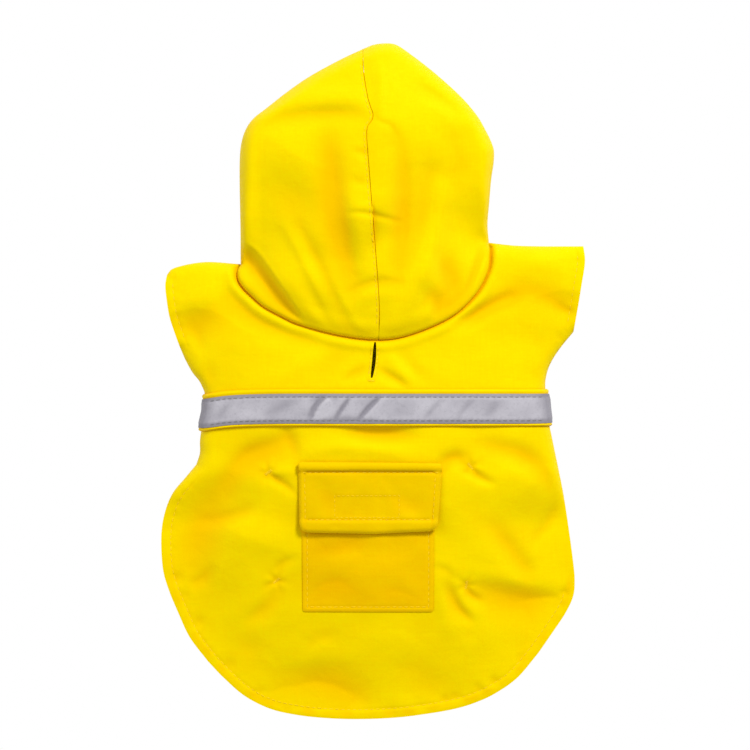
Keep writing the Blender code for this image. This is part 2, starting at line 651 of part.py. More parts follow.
def under_grid(fold, levels, face_run):
    """The hood's under side, row by row: round the fold, then flat to the face opening."""
    shares = travelled(fold) / travelled(fold)[-1]
    ends = along(face_run, shares ** FACE_SPACING)
    chord = ends - fold
    length = np.linalg.norm(chord, axis=1)
    columns = []
    for turn in np.radians(UNDER_TURNS):
        reach = (levels * (1.0 - np.cos(turn)) / length)[:, None]
        columns.append(np.column_stack([fold + reach * chord, levels * (1.0 - np.sin(turn))]))
    start = levels / length
    for share in UNDER_SHARES:
        reach = (start + (1.0 - start) * share)[:, None]
        columns.append(np.column_stack([fold + reach * chord, np.zeros(len(fold))]))
    return np.stack(columns, axis=1)


def hood_half(name, side, look):
    """One half of the hood, -1 for the left and +1 for the right.

    It runs from the centre seam over the crown, round the folded edge and under to
    the face opening.
    """
    seam = spaced(hood_seam) + [side * HALF_GAP, 0.0]
    fold_run = hood_left_edge if side < 0 else hood_right_edge
    fold = spaced(fold_run)
    face_run = (face_left if side < 0 else face_right).copy()
    neck_edge = beside(neck, neck_shares(), HALF_GAP)
    middle = np.linalg.norm(neck_edge - HOOD_SEAM[-1], axis=1).argmin()
    own = neck_edge[:middle][::-1] if side < 0 else neck_edge[middle + 1:]
    seam[-1] = neck_edge[middle] + [side * HALF_GAP, 0.0]
    fold[0] = seam[0]
    fold[-1] = own[-1]
    face_run[0] += [side * HALF_GAP, 0.0]
    face_run[-1] += [side * HALF_GAP, HALF_GAP]
    outline = np.vstack([seam, own, fold[::-1][1:-1]])
    layers = [(fold_run, even_shares(fold_run), HOOD_STEPS), (neck, neck_shares(), NECK_STEPS)]
    plan, faces, border = plan_mesh(outline, layers, HOOD_LATTICE)
    top = np.column_stack([plan, hood_height(*plan.T)])
    fold_index = [border[0]] + border[:len(seam) + len(own) - 2:-1]
    under = under_grid(fold, top[fold_index, 2], face_run)
    rows, columns = under.shape[:2]
    first = len(top)
    ring = np.arange(rows * columns).reshape(rows, columns) + first
    ring = np.column_stack([fold_index, ring])
    under_faces = []
    for r in range(rows - 1):
        for c in range(columns):
            quad = [ring[r, c], ring[r + 1, c], ring[r + 1, c + 1], ring[r, c + 1]]
            under_faces.append([int(k) for k in quad])
    used = {(a, b) for face in faces for a, b in zip(face, face[1:] + face[:1])}
    if (under_faces[0][0], under_faces[0][1]) in used:
        under_faces = [quad[::-1] for quad in under_faces]
    points = np.vstack([top, under.reshape(-1, 3)])
    rim_cut = np.zeros(len(points))
    rim_cut[border[len(seam):len(seam) + len(own)]] = 1.0
    wall(name, points, faces + under_faces, WALL, look, rim_cut)


def coons(bottom, top, left, right, across, up):
    """Plan points of a four-sided patch between boundary polylines."""
    b = along(bottom, across)[None, :, :]
    t = along(top, across)[None, :, :]
    l = along(left, up)[:, None, :]
    r = along(right, up)[:, None, :]
    u = np.asarray(across)[None, :, None]
    v = np.asarray(up)[:, None, None]
    ruled = (1 - v) * b + v * t + (1 - u) * l + u * r
    corners = (1 - u) * (1 - v) * bottom[0] + u * (1 - v) * bottom[-1]
    corners = corners + (1 - u) * v * top[0] + u * v * top[-1]
    return ruled - corners


def front_half(name, side, look):
    """One front with the under half of its sleeve, -1 for the left and +1 for the right.

    The right one laps over the left inside the coat.
    """
    if side < 0:
        outer = join(side_left[::-1], waist_left, underarm_left, cuff_left)
        top = join(shoulder_left, neckline_left - [0.0, HALF_GAP])
    else:
        outer = join(side_right[::-1], waist_right, underarm_right, cuff_right)
        top = join(shoulder_right[::-1], neckline_right - [0.0, HALF_GAP])
    rear_y = outer[0, 1]
    levels = np.linspace(rear_y, top[-1, 1], LEVEL_ROWS)
    lapped_edge = np.column_stack([-side * lower_front_edge(levels), levels])
    top[-1] = lapped_edge[-1]
    bottom = smooth_curve([outer[0], (outer[0, 0] / 2, rear_y - REAR_SAG), lapped_edge[0]])
    near = [0.0] + TURN_STEPS
    lap = [0.0] + [OVERLAP_HALF * 2 + step for step in LAP_STEPS]
    across = graded(FRONT_WIDTH, FRONT_COLUMNS, near, lap)
    up = graded(FRONT_LENGTH, FRONT_ROWS, end_steps=near)
    plan = coons(bottom, top, outer, lapped_edge, across, up).reshape(-1, 2)
    lift = OVERLAP_LIFT if side > 0 else 0.0
    points = np.column_stack([plan, front_height(*plan.T, lift)])
    faces = grid_faces(len(up), len(across))
    if side < 0:
        faces = [face[::-1] for face in faces]
    rim_cut = 1.0 * (closed_distance(*plan.T) < ON_EDGE)
    wall(name, points, faces, WALL, look, rim_cut)


def waist_strip(name, offsets, lift, look):
    """A strip across the waist: the back's own points moved out."""
    plan = np.vstack([seam_row(offset) for offset in offsets])
    faces = grid_faces(len(offsets), len(waist_columns()))
    if offsets[0] > offsets[-1]:
        faces = [face[::-1] for face in faces]
    points = np.column_stack([plan, back_height(*plan.T)])
    closed = 1.0 * (closed_distance(*plan.T) < ON_EDGE)
    out = point_normals(points, faces)
    out[:, 2] *= 1.0 - closed
    out /= np.linalg.norm(out, axis=1)[:, None]
    wall(name, points + (lift + TRIM_WALL) * out, faces, TRIM_WALL, look, closed)


def rounded_grid(sides, corner, columns, rows):
    """Plan points of a rectangle whose two lower corners are rounded."""
    left, right, bottom, top = sides
    levels = np.concatenate([corner * np.array([0.0, 0.3, 0.65]),
                             np.linspace(corner, top - bottom, rows)])
    shares = np.linspace(0.0, 1.0, columns)
    plan = []
    for level in levels:
        inset = corner * (1.0 - rounded(level, corner))
        x = left + inset + shares * (right - left - 2 * inset)
        plan.append(np.column_stack([x, np.full(columns, bottom + level)]))
    return np.vstack(plan), grid_faces(len(levels), columns)


def top_of(base, plan):
    """Height of a made panel's own faceted upper surface."""
    corners = [tuple(vertex.co / MM) for vertex in base.data.vertices]
    sides = [tuple(face.vertices) for face in base.data.polygons]
    tree = BVHTree.FromPolygons(corners, sides)
    hits = [tree.ray_cast((x, y, ABOVE_ALL), (0.0, 0.0, -1.0))[0] for x, y in plan]
    return np.array([hit[2] for hit in hits])


def lying_on(base, name, sides, corner, columns, rows, lift, look):
    """A piece such as the pocket, a little above a panel's own surface."""
    plan, faces = rounded_grid(sides, corner, columns, rows)
    points = np.column_stack([plan, top_of(base, plan) + lift + TRIM_WALL])
    wall(name, points, faces, TRIM_WALL, look)


def fastener(name, level, look):
    """A flat strip of hook or loop tape inside the belly overlap."""
    width, length = FASTENER_SIZE
    x, y = FASTENER_CENTRE
    plan, faces = rounded_grid((x - width / 2, x + width / 2, y - length / 2, y + length / 2),
                               FASTENER_CORNER, 3, 2)
    points = np.column_stack([plan, np.full(len(plan), level)])
    wall(name, points, faces, TRIM_WALL, look)


def build():
    """Make every piece of the coat."""
    for old in list(bpy.data.objects):
        bpy.data.objects.remove(old)
    yellow = (0.93, 0.66, 0.01)
    shaded_yellow = (0.90, 0.58, 0.01)
    grey = (0.51, 0.50, 0.53)
    hood_half("hood_left", -1, material("hood_left", yellow, 0.45))
    hood_half("hood_right", 1, material("hood_right", yellow, 0.45))
    make_yoke(material("yoke", yellow, 0.45))
    back = make_back(material("back_panel", yellow, 0.45))
    front_half("front_left", -1, material("front_left", yellow, 0.45))
    front_half("front_right", 1, material("front_right", yellow, 0.45))
    waist_strip("stripe_band", (BAND_BOTTOM, -TAPE_HALF, 0.0, TAPE_HALF, BAND_TOP), GAP,
                material("stripe_band", yellow, 0.45))
    waist_strip("reflective_tape", (-TAPE_HALF, 0.0, TAPE_HALF), 2 * GAP + TRIM_WALL,
                material("reflective_tape", grey, 0.35))
    lying_on(back, "pocket", POCKET_SIDES, POCKET_CORNER, 9, 9, POCKET_LIFT,
             material("pocket", shaded_yellow, 0.45))
    lying_on(back, "pocket_flap", FLAP_SIDES, FLAP_CORNER, 10, 6, 2 * POCKET_LIFT + TRIM_WALL,
             material("pocket_flap", yellow, 0.45))
    hook_top = WALL + GAP + TRIM_WALL
    fastener("closure_hook", hook_top, material("closure_hook", yellow, 0.8))
    fastener("closure_loop", hook_top + GAP + TRIM_WALL,
             material("closure_loop", yellow, 0.8))


build()
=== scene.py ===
"""Looks of the dog raincoat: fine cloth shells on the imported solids, stitches, light and camera.

Lengths are millimetres and become metres when a mesh is made. +Z is up and +Y runs
towards the head. The outline and the large form repeat the construction's, and the
creases, rolled edges, hems and stitches are added here.
"""

import bpy
import numpy as np
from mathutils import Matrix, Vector
from mathutils.bvhtree import BVHTree
from mathutils.geometry import delaunay_2d_cdt

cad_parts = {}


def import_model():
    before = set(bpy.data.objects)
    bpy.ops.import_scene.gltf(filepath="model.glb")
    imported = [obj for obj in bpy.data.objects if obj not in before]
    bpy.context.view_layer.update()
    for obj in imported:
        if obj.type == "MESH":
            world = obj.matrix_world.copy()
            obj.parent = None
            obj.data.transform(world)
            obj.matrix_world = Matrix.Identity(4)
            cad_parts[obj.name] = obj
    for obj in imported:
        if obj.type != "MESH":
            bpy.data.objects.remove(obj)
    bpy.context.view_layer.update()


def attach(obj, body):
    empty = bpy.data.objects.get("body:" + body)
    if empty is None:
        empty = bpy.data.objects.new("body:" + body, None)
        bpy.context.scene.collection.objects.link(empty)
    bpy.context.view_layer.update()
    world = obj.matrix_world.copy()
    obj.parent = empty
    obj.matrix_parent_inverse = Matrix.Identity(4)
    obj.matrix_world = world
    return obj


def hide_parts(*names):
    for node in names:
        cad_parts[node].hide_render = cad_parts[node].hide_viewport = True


MM = 0.001

# Cloth
CLOTH = 0.7                # thickness of the coated cloth
TRIM = 0.6                 # of the pocket and the flap
TAPE = 0.35
GAP = 0.3
HALF_GAP = GAP / 2
SEAM_GAP = 0.1             # between two pieces that are sewn edge to edge

# Loft of the laid coat
SEAM_HEIGHT = 3.0
SIDE_ROUNDING = 10.0
SIDE_RISE = 8.0
CROWN_REACH = 95.0
CROWN_RISE = 11.0
SKIRT_START_Y = -60.0
SKIRT_END_Y = -100.0
SKIRT_ROUNDING = 62.0
TAIL_LOFT = 0.5
NECK_LOFT = 0.78
CUFF_LOFT = 0.62
CUFF_REACH = 34.0
TAIL_START_Y = -60.0
TAIL_RUN = 130.0
NECK_START_Y = -15.0
NECK_RUN = 50.0
HEM_WAVE = 1.6

# Hood
FOLD_HEIGHT = 10.0
FOLD_REACH = 34.0
HOOD_ROUNDING = 9.0
HOOD_SIDE_RISE = 11.0
HOOD_CROWN_REACH = 78.0
HOOD_CROWN_RISE = 18.0
NECK_ROUNDING = 2.4
NECK_RISE = 2.6
NECK_REACH = 130.0
NECK_CROWN = 28.0
NECK_RELEASE = 60.0
NECK_BLEND = 5.0
DOME_BLEND = 8.0
DOME_BLEND_REACH = 16.0
FACE_SPACING = 3.0

# Neck seam: the yoke rolls down into it and the hood hangs over it
NECK_TUCK = 1.0
NECK_DIP = 1.5
NECK_DIP_WIDTH = 1.3
END_DIP = 2.4              # deeper and wider at the seam's two ends
END_DIP_WIDTH = 1.8
NECK_ROLL = 1.3
NECK_ROLL_PLACE = 4.8
NECK_ROLL_WIDTH = 3.2
OVERHANG = 0.9
OVERHANG_REACH = 5.0

# Hood seam: the left half's cloth passes under the right half's edge
FLANGE = 2.5
FLANGE_DROP = 0.75
FLANGE_LOW_Y = 32.0
FLANGE_HIGH_Y = 230.0
SEAM_VALLEY = 0.15
SEAM_VALLEY_WIDTH = 1.2
SEAM_SINK = 0.6
SEAM_SINK_WIDTH = 5.0
HOOD_STITCH = 1.9          # from the seam to its topstitch

# Band and tape, measured up and down from the seam that they cover
BAND_TOP = 13.9
BAND_BOTTOM = -12.3
TAPE_HALF = 10.3
TAPE_STITCH = 8.2
TAPE_ROW_ENDS = (-114.0, 118.5)
BAND_LIFT = 1.7
BAND_CALM = 9.0           # creases stop this near the seam

# Belly fastening
OVERLAP_HALF = 12.5
OVERLAP_START = 12.0
OVERLAP_RUN = 26.0
OVERLAP_LIFT = 4.4
LAP_RISE_START = 12.0
LAP_RISE_RUN = 10.0
FASTENER_SIZE = (18.0, 56.0)
FASTENER_CENTRE = (0.0, -14.0)
FASTENER_CORNER = 2.0
HOOK_LEVEL = 2.5
LOOP_LEVEL = 3.8
FASTENER_THICKNESS = 0.85
FASTENER_INSET = 1.6       # from its edge to its stitches
REAR_SAG = 4.0

# Hems
HEM_STITCH = 6.6
HEM_ROW_START_Y = -67.0
# strength of the painted shade along the skirt's hem
PAINTED_HEM_SHADE = 0.75
CUFF_STITCH = 5.2
NECKLINE_STITCH = 5.0
FACE_STITCH = 7.0
LAP_STITCH = 4.0
LAP_ROW_ENDS = (-55.0, 40.0)

# Stitches
PITCH = 4.06
STITCH_LENGTH = 2.9
STITCH_RADIUS = 0.24
STITCH_SINK = 0.35         # height of a thread's middle, as a share of its radius
THREAD_SIDES = 6

# Leash slit
SLIT_TOP = (1.5, 27.6)
SLIT_BOTTOM = (-1.0, 2.6)
SLIT_WIDTH = 2.6
SLIT_STITCH = 2.3

# Meshing
FINE = 1.5
BLOCK = 3000               # points worked on at a time
FRONT_SPACING = 2.2
STRIP_ROWS = 0.85          # between the rows of the band and the tape
STRIP_COLUMNS = 170
# Distances from an edge at which a mesh has a row of its own
HEM_STEPS = [0.5, 1.2, 2.4, 3.9, 5.2, 6, 6.6, 7.2, 8.2]
SIDE_STEPS = [0.4, 1.1, 2.2, 3.6, 5.2]
CUFF_STEPS = [0.6, 1.8, 3.4, 4.6, 5.2, 5.8, 7]
NECK_STEPS = [0.4, 1, 1.8, 2.8, 4]
SEAM_STEPS = [0.25, 0.6, 1, 1.5, 2.1]
FRONT_STEPS = [0.4, 1.1, 2.2, 3.6]
LAP_STEPS = [1.5, 3, 4, 5]
REAR_STEPS = [1.5, 3.5, 5, 6.5]
POCKET_STEPS = [0.4, 1.2, 2.4, 3.2, 4.2]
FLAP_STEPS = [0.35, 0.9, 1.8, 3, 4.2, 5.2]
FASTENER_STEPS = [0.4, 1]

# Camera and light, in metres and watts
CAMERA_HEIGHT = 4.0
VIEW_WIDTH = 0.5235
CAMERA_AIM = (0.0014, 0.00455)
KEY_PLACE = (1.5, 2.3, 2.5)
KEY_SIZE = 1.1
KEY_POWER = 136.0
FILL_PLACE = (-3.0, 0.6, 2.2)
FILL_SIZE = 2.4
FILL_POWER = 40.0
WORLD_STRENGTH = 0.54
FLOOR_SIZE = 6.0
FLOOR_DROP = 0.0006
STAND_OFF = 0.008          # the camera's height is measured from the coat

# Colours of the coated cloth: base, deep and pale. Deep is mostly painted shade, warm like
# bounced light, for creases, seams and gaps; small amounts of it give the weave, streaks and
# mottling. Pale is slow random tone. The pocket and the flap get a darker, more orange yellow.
YELLOW = ((0.735, 0.575, 0.0), (0.77, 0.39, 0.0), (0.77, 0.61, 0.0))
POCKET_YELLOW = ((0.725, 0.465, 0.0), (0.74, 0.31, 0.0), (0.75, 0.495, 0.0))
FLAP_YELLOW = ((0.68, 0.465, 0.0), (0.72, 0.32, 0.0), (0.71, 0.495, 0.0))

# Outline of the coat in plan, run by run
HOOD_LEFT_EDGE = [(-7, 232), (-23, 224.5), (-44, 213), (-60, 202), (-74, 191), (-83.5, 183.5),
    (-89, 175.5), (-92, 165.5), (-93, 153.5), (-93, 134), (-92.5, 108), (-92.5, 82)]
HOOD_RIGHT_EDGE = [(-7, 232), (0.5, 235), (9, 236), (16, 235), (24, 230), (38.5, 219), (52, 207.5),
    (63.5, 196.5), (73, 185), (79, 174.5), (83, 166), (84.5, 160), (84, 151), (82.5, 141), (81, 123.5),
    (80, 109.5), (81, 97)]
HOOD_SEAM = [(-7, 232), (-6.5, 216.5), (-4, 200), (-2, 192), (0.2, 185.5), (-0.6, 181), (-3.6, 176.5),
    (-4.2, 170), (-3.5, 160), (-1.5, 134), (1.5, 97), (4.5, 54), (4, 29)]
NECK = [(-92.5, 82), (-94.5, 77), (-94, 71), (-90.5, 65.5), (-85.5, 60.5), (-76.5, 52.5), (-64, 45.5),
    (-51, 39.5), (-23, 32), (4, 29), (26, 32.5), (54, 44.5), (71.5, 60.5), (80, 76.5), (81.5, 88),
    (81, 97)]
FACE_LEFT = [(-5, 177.5), (-35, 172), (-59, 152), (-68, 125), (-61, 100), (-36, 77), (0, 59)]
FACE_RIGHT = [(-5, 177.5), (27, 172), (51, 152), (59, 127), (54, 104), (34, 81), (0, 59)]
NECKLINE_LEFT = [(-92.5, 82), (0, 59)]
NECKLINE_RIGHT = [(81, 97), (0, 59)]
SHOULDER_LEFT = [(-144, 74.5), (-138.5, 79.5), (-117.5, 83.5), (-92.5, 82)]
SHOULDER_RIGHT = [(81, 97), (99.5, 95), (120.5, 94.5), (147, 94.5)]
CUFF_LEFT = [(-134.5, 23), (-138.5, 34), (-142, 45), (-144, 57), (-145, 67), (-144, 74.5)]
CUFF_RIGHT = [(140, 34.5), (143, 51.5), (145.5, 67), (148, 83.5), (147, 94.5)]
UNDERARM_LEFT = [(-118, -6.5), (-121.5, 0.5), (-126, 6), (-131, 15), (-134.5, 23)]
UNDERARM_RIGHT = [(120.5, -6.5), (120.5, 0.5), (122.5, 9), (126.5, 17), (132.5, 25.5), (140, 34.5)]
WAIST_LEFT = [(-120, -34), (-118.5, -27), (-117, -20), (-117, -13), (-118, -6.5)]
WAIST_RIGHT = [(124, -34), (122.5, -27), (121.5, -20), (121, -13), (120.5, -6.5)]
SIDE_LEFT = [(-120, -34), (-121, -42), (-121, -50), (-123.5, -58)]
SIDE_RIGHT = [(124, -34), (126.5, -46), (129, -58)]
SKIRT_LEFT = [(-123.5, -58), (-131, -67), (-140, -78), (-145.5, -91.5), (-148, -107.5), (-147, -130),
    (-143, -145), (-136, -162), (-128, -179), (-115.5, -195.5)]
SKIRT_RIGHT = [(129, -58), (133, -78), (136.5, -100.5), (140, -126.5), (141, -139), (140, -150),
    (134.5, -162), (124.5, -177), (115.5, -190)]
HEM = [(-115.5, -195.5), (-104.5, -207), (-89.5, -220), (-71.5, -229), (-51, -233.5), (-30, -235.5),
    (-9, -236), (15.5, -235), (36.5, -232.5), (56.5, -229), (71.5, -224.5), (85.5, -218), (101, -207),
    (115.5, -190)]
BACK_SEAM = [(-117, -22.5), (-98, -20), (-65, -19), (0, -19), (61, -19), (121.5, -19)]

# Creases: height, width to the left and to the right of their direction, points
HOOD_CREASES = [
    # crown ridge, shaded below
    (2.6, 8, 8, [(-80, 186), (-62, 193.5), (-42, 196.5), (-20, 196), (-4, 194)]),
    # crown trough
    (-2, 5, 6, [(-84, 178), (-62, 183), (-40, 185.5), (-18, 186), (-3, 184)]),
    # ridge right of the seam
    (0.9, 2.2, 5, [(4.5, 222), (5.5, 202), (5, 182)]),
    # kink of the seam
    (-0.7, 1.6, 2.4, [(0.5, 184.5), (6, 180), (12.5, 177.5), (17.5, 169)]),
    # long trough right of the seam
    (-2, 6, 7, [(15, 173), (19.5, 158), (21.5, 138), (21.5, 118), (19.5, 98)]),
    (-2, 5, 8, [(21, 124), (20.5, 108), (19, 94), (17, 80), (17.5, 69)]),
    (-1.9, 7, 9, [(38, 146), (37, 124), (33, 105), (28.5, 88), (24, 70)]),
    # ridge to the right of it
    (2.8, 9, 7, [(47, 142), (46, 122), (43, 100), (36.5, 79), (28, 60), (20, 45), (14, 36)]),
    # long trough left of the seam
    (-3.4, 9, 11, [(-32, 172), (-29, 144), (-26.5, 122), (-22.5, 100), (-18.5, 82), (-16, 64)]),
    # ridge between the seam and that trough
    (1.5, 6, 6, [(-15, 134), (-12, 112), (-9, 92), (-7.5, 74)]),
    # deep fold that runs to the middle of the neck
    (-2, 5, 8, [(-53, 110), (-44, 92), (-35.5, 75), (-27, 58), (-18.5, 42), (-14, 34)]),
    (1.8, 8, 4, [(-62, 110), (-52, 92), (-43, 74), (-34, 56), (-24, 38)]),
    (1, 4, 5, [(-31, 74), (-23, 58), (-15, 44), (-8, 34)]),
    # short trough beside it
    (-1.6, 6, 6, [(-47, 69), (-40, 58), (-33, 47), (-27, 38)]),
    # left overlapping fold and the hollow under it
    (4, 15, 2.8, [(-91, 99), (-80, 91), (-68.5, 75), (-57.5, 59), (-47, 44), (-41, 37)]),
    (-3.4, 5.5, 7.5, [(-93, 93), (-84, 80), (-73, 67), (-61, 54), (-46, 40)]),
    # pinch across the seam
    (-1.1, 1.8, 2.4, [(-17.5, 117), (-8, 117), (0, 115.8), (8, 113.8), (19.5, 111)]),
    (0.5, 3, 3, [(-12, 122), (-2, 121.5), (7, 119.5)]),
    # dimples left of the seam
    (-1.1, 3, 3, [(-13, 160), (-8, 158.5), (-3.5, 158)]),
    (-0.8, 3.5, 3, [(-14, 139.5), (-8, 137.5), (-3.5, 137)]),
    (-0.6, 2.5, 2.5, [(-6, 173), (-6.5, 163), (-6, 152)]),
    # low crease where the long troughs end
    (-1.2, 3, 6, [(-17.5, 60.5), (-13, 63.5), (-6, 67), (1, 69), (10, 69.5), (21, 67.5)]),
    (0.8, 6, 6, [(-10, 58), (0, 60), (12, 59)]),
    # hollows at the lower right
    (-3.2, 9, 7, [(46, 90), (51, 77), (56, 66), (60, 57)]),
    (-2.8, 9, 9, [(33, 67), (40, 58), (49, 53), (61, 54)]),
    (0.8, 2, 2.5, [(40.5, 58), (39, 50), (38, 42)]),
    (-0.7, 1.8, 2.2, [(45.5, 55), (45, 48), (44, 43)]),
    # narrow fold at the neck seam's right end
    (-2.2, 3, 3.4, [(78, 94), (73.5, 82), (69.5, 71), (66.5, 58)]),
    (1.3, 2.4, 2.6, [(79.5, 86), (75, 75), (71, 65), (68, 56)]),
    # soft unevenness of the right half
    (-1, 4, 5, [(30, 207), (42, 199), (54, 192), (64, 184)]),
    (0.9, 7, 7, [(33, 193), (48, 186), (64, 174)]),
    (-1.1, 9, 6, [(52, 172), (59, 160), (60, 146), (55, 134)]),
    (-1, 8, 8, [(38, 150), (46, 143), (53, 138)]),
    # soft unevenness of the left half
    (-1.4, 12, 12, [(-64, 134), (-55, 122), (-48, 110)]),
    (1, 14, 14, [(-66, 160), (-55, 148)]),
    (0.8, 10, 10, [(-60, 96), (-52, 80)]),
]
BODY_CREASES = [
    # left: trough along the rolled neck edge
    (-2.1, 5, 10, [(-106, 64), (-97, 55.5), (-89, 47.5), (-79, 40.5), (-65, 34.5), (-49, 30.5),
        (-37, 29)]),
    # left sleeve: broad trough and the ridge above it
    (-2.2, 13, 11, [(-140, 37), (-128, 40.5), (-115, 43.5), (-102, 47)]),
    (1.6, 9, 8, [(-140, 55), (-128, 57), (-114, 60), (-104, 68)]),
    (-1, 5, 5, [(-127, 38), (-122, 30), (-119, 22)]),
    (-0.9, 5, 5, [(-116, 12), (-113.5, 4), (-114, -4)]),
    # left: soft ridge down to the band
    (1.2, 8, 8, [(-33, 27), (-45, 15), (-58, 6), (-72, 1)]),
    (-1, 7, 7, [(-20, 19), (-29, 8), (-40, -1)]),
    # both sides of the slit's foot
    (-1.9, 4, 3.5, [(-20, 0), (-12, 5), (-5, 8.5)]),
    (-2, 3.5, 4, [(3.5, 9), (9, 5), (16, 1), (24, -5)]),
    (-1.1, 5, 5, [(20, 19), (27, 10), (36, 1)]),
    (0.8, 4, 4, [(10, 18), (18, 8), (27, -1)]),
    # right: trough from the neck seam towards the sleeve
    (-4, 5, 7, [(56, 40.5), (66, 43.5), (76, 49), (87, 55), (99, 58.5)]),
    (-2.8, 12, 9, [(88, 57), (102, 62), (114, 62), (126, 56), (138, 48)]),
    (1.2, 8, 8, [(96, 80), (112, 84), (132, 80)]),
    (-1.4, 4, 5, [(128, 53), (134, 49), (140, 47)]),
    (-1.3, 2.5, 2.5, [(129.5, 32), (134, 28)]),
    (-0.9, 5, 5, [(113, 29), (117, 24)]),
    (-0.8, 5, 5, [(112, 6), (117, -1)]),
    # under the band
    (-3, 6.5, 8, [(-20, -37), (0, -37.5), (14, -37.5), (29, -39)]),
    (1.4, 6, 5, [(-46, -48), (-24, -45.5), (0, -46), (22, -50)]),
    (-1.6, 5, 5, [(-61, -31), (-57.5, -42), (-54, -55)]),
    # left shoulder of the back: long dark bend
    (-3.2, 11, 7, [(-58, -41), (-71, -45.5), (-84, -50), (-95, -60), (-103, -74)]),
    (-1.7, 14, 12, [(-98, -62), (-108, -78), (-114, -98)]),
    # upper left bar tack
    (-1.6, 2.8, 3.2, [(-79, -65.5), (-70, -68), (-61.5, -72), (-54, -78.5)]),
    (0.9, 4, 4, [(-70, -60.5), (-63, -62), (-55, -63.5)]),
    # left side
    (-1.5, 5, 5, [(-120, -97), (-106, -96.5), (-94, -93), (-83, -88)]),
    (-2.2, 16, 14, [(-114, -84), (-120, -102), (-123, -120), (-122, -139)]),
    (-1.3, 5, 4, [(-113, -129), (-117, -137), (-127, -142)]),
    (1.3, 13, 12, [(-93, -103), (-77, -110), (-60, -111)]),
    (-0.9, 3, 3.5, [(-70, -134), (-63, -126.5), (-53, -123)]),
    # below the lower left bar tack
    (-2, 7, 6, [(-67, -142), (-70, -153), (-79, -162.5), (-90, -168.5)]),
    (-0.9, 8, 8, [(-78, -179), (-92, -188)]),
    # tail: broad hollow above the hem
    (-3.4, 20, 11, [(-70, -217), (-50, -217), (-34, -214), (-20, -214.5), (-5, -221)]),
    (1.2, 12, 8, [(-62, -197), (-34, -191), (-6, -196)]),
    (-0.8, 9, 9, [(18, -192), (32, -202), (44, -212)]),
    (-0.8, 6, 5, [(-48, -190), (-40, -180), (-26, -176)]),
    # beside the flap and at the upper right bar tack
    (-2.5, 5, 5, [(46, -61), (51, -56), (58, -52.5), (66, -56)]),
    (-1.8, 3.5, 3, [(60, -60.5), (68, -64), (75, -67.5), (84, -71)]),
    # right: long bend under the band
    (-3, 8, 8, [(74, -42), (87, -46.5), (100, -50), (111, -57), (119, -64), (126, -75)]),
    (1.3, 13, 13, [(88, -74), (104, -80), (120, -84)]),
    # right side
    (-1.4, 4, 5, [(131, -84), (125, -94), (119.5, -103.5), (112, -113)]),
    (-2.2, 7, 7, [(84, -100), (91, -111), (99, -121.5), (106, -131), (111, -140)]),
    # lower right: the largest fold
    (1.2, 9, 8, [(66, -134.5), (88, -137.5), (110, -142), (136, -145)]),
    (-3.4, 10, 16, [(68, -143), (84, -147.5), (100, -152), (116, -156.5), (133, -158)]),
    # below the lower right bar tack
    (-2, 3.5, 4.5, [(51, -140), (55, -150), (60, -159), (69, -168.5)]),
    (-1.3, 3, 3, [(64, -144), (69, -149.5), (76, -153.5)]),
    (0.9, 5, 5, [(60, -149), (67, -158), (77, -162)]),
    (-1.4, 6, 6, [(66, -175), (71.5, -177.5)]),
    # beside the pocket
    (-0.9, 3, 4, [(43, -129), (50, -131), (56, -138)]),
    (0.9, 5, 5, [(46, -138), (48, -156), (53, -176)]),
]

SKIRT_RIGHT_FOLD_Y = -146.0    # above this the right side of the skirt is folded under

# Long, low unevenness: direction in degrees, wavelength, phase, height
FLUTTER = [
    (20, 71, 0.4, 0.28), (104, 47, 1.9, 0.22), (65, 31, 3.1, 0.13), (150, 22, 0.9, 0.06),
    (83, 13.5, 2.2, 0.02),
]
# Dimples where the hem puckers: x, y, radius along, depth
HEM_PUCKERS = [
    (-138, -137.5, 5, 1.2), (-131.5, -150, 3.5, 0.6), (-122, -168, 4, 0.7), (-101, -198, 5, 0.7),
    (-79, -220, 5, 0.7), (-60, -226, 4, 0.6), (-22, -229, 5, 0.5), (12, -229.5, 4.5, 0.5),
    (34, -227, 4, 0.5), (50.4, -222.2, 3, 0.8), (57.5, -220.6, 3, 0.8), (73.5, -214.7, 3.5, 0.8),
    (84.7, -209.2, 3.5, 1.1), (104, -194, 4, 0.6), (123.5, -170, 5, 1.3), (134, -147.5, 3.5, 0.9),
    (-144, -104, 4, 0.5), (-143, -86, 4, 0.4),
]
# Bar tacks: x, y, direction in degrees, and the direction of the deepest pucker
TACKS = [
    (-72.8, -63.3, 35, -40), (67.9, -59.1, -50, -50), (-67.2, -138.9, 40, 210), (65.1, -141.8, 80, -75),
]
TACK_DEPTH = 1.3
TACK_RADIUS = 3.4
TACK_STAR = 0.45
TACK_THREADS = 9
TACK_SPACING = 0.62
TACK_HALF = 1.2

# Flap and pocket, corner by corner from the lower left, anticlockwise
FLAP_CORNERS = [(-51, -105), (0, -106), (44.8, -104), (48.2, -58.5), (47.2, -56.8), (-52, -55.6)]
FLAP_ROUNDS = [6.5, 0, 6.5, 1, 1, 1.5]
FLAP_TOP_Y = -56.2
FLAP_WELT = 6.4
FLAP_WELT_RISE = 2.0
FLAP_ROW_Y = -96.2
FLAP_SIDE_STITCH = 4.2
FLAP_SIDES = [[(-51.6, -108.0), (-51.9, -50.0)], [(44.6, -108.0), (48.4, -50.0)]]
FLAP_ROW_LEFT = -51.7       # its side rows are measured from here
FLAP_ROW_RIGHT = 46.4
FLAP_FOOT = 2.0            # the flap's lower margin stands this far off the pocket
FASTENED_PATCH = (-26.6, 18.2, -94.5, -79.4)
POCKET_CORNERS = [(-49, -160.4), (42, -160.6), (42.5, -66), (-49.5, -66)]
POCKET_ROUNDS = [2, 2, 0, 0]
POCKET_STITCH = 3.2
POCKET_ROW_TOP = -101.0     # the flap covers the rows above this
POCKET_LIFT = 0.35
POCKET_FULLNESS = 0.8

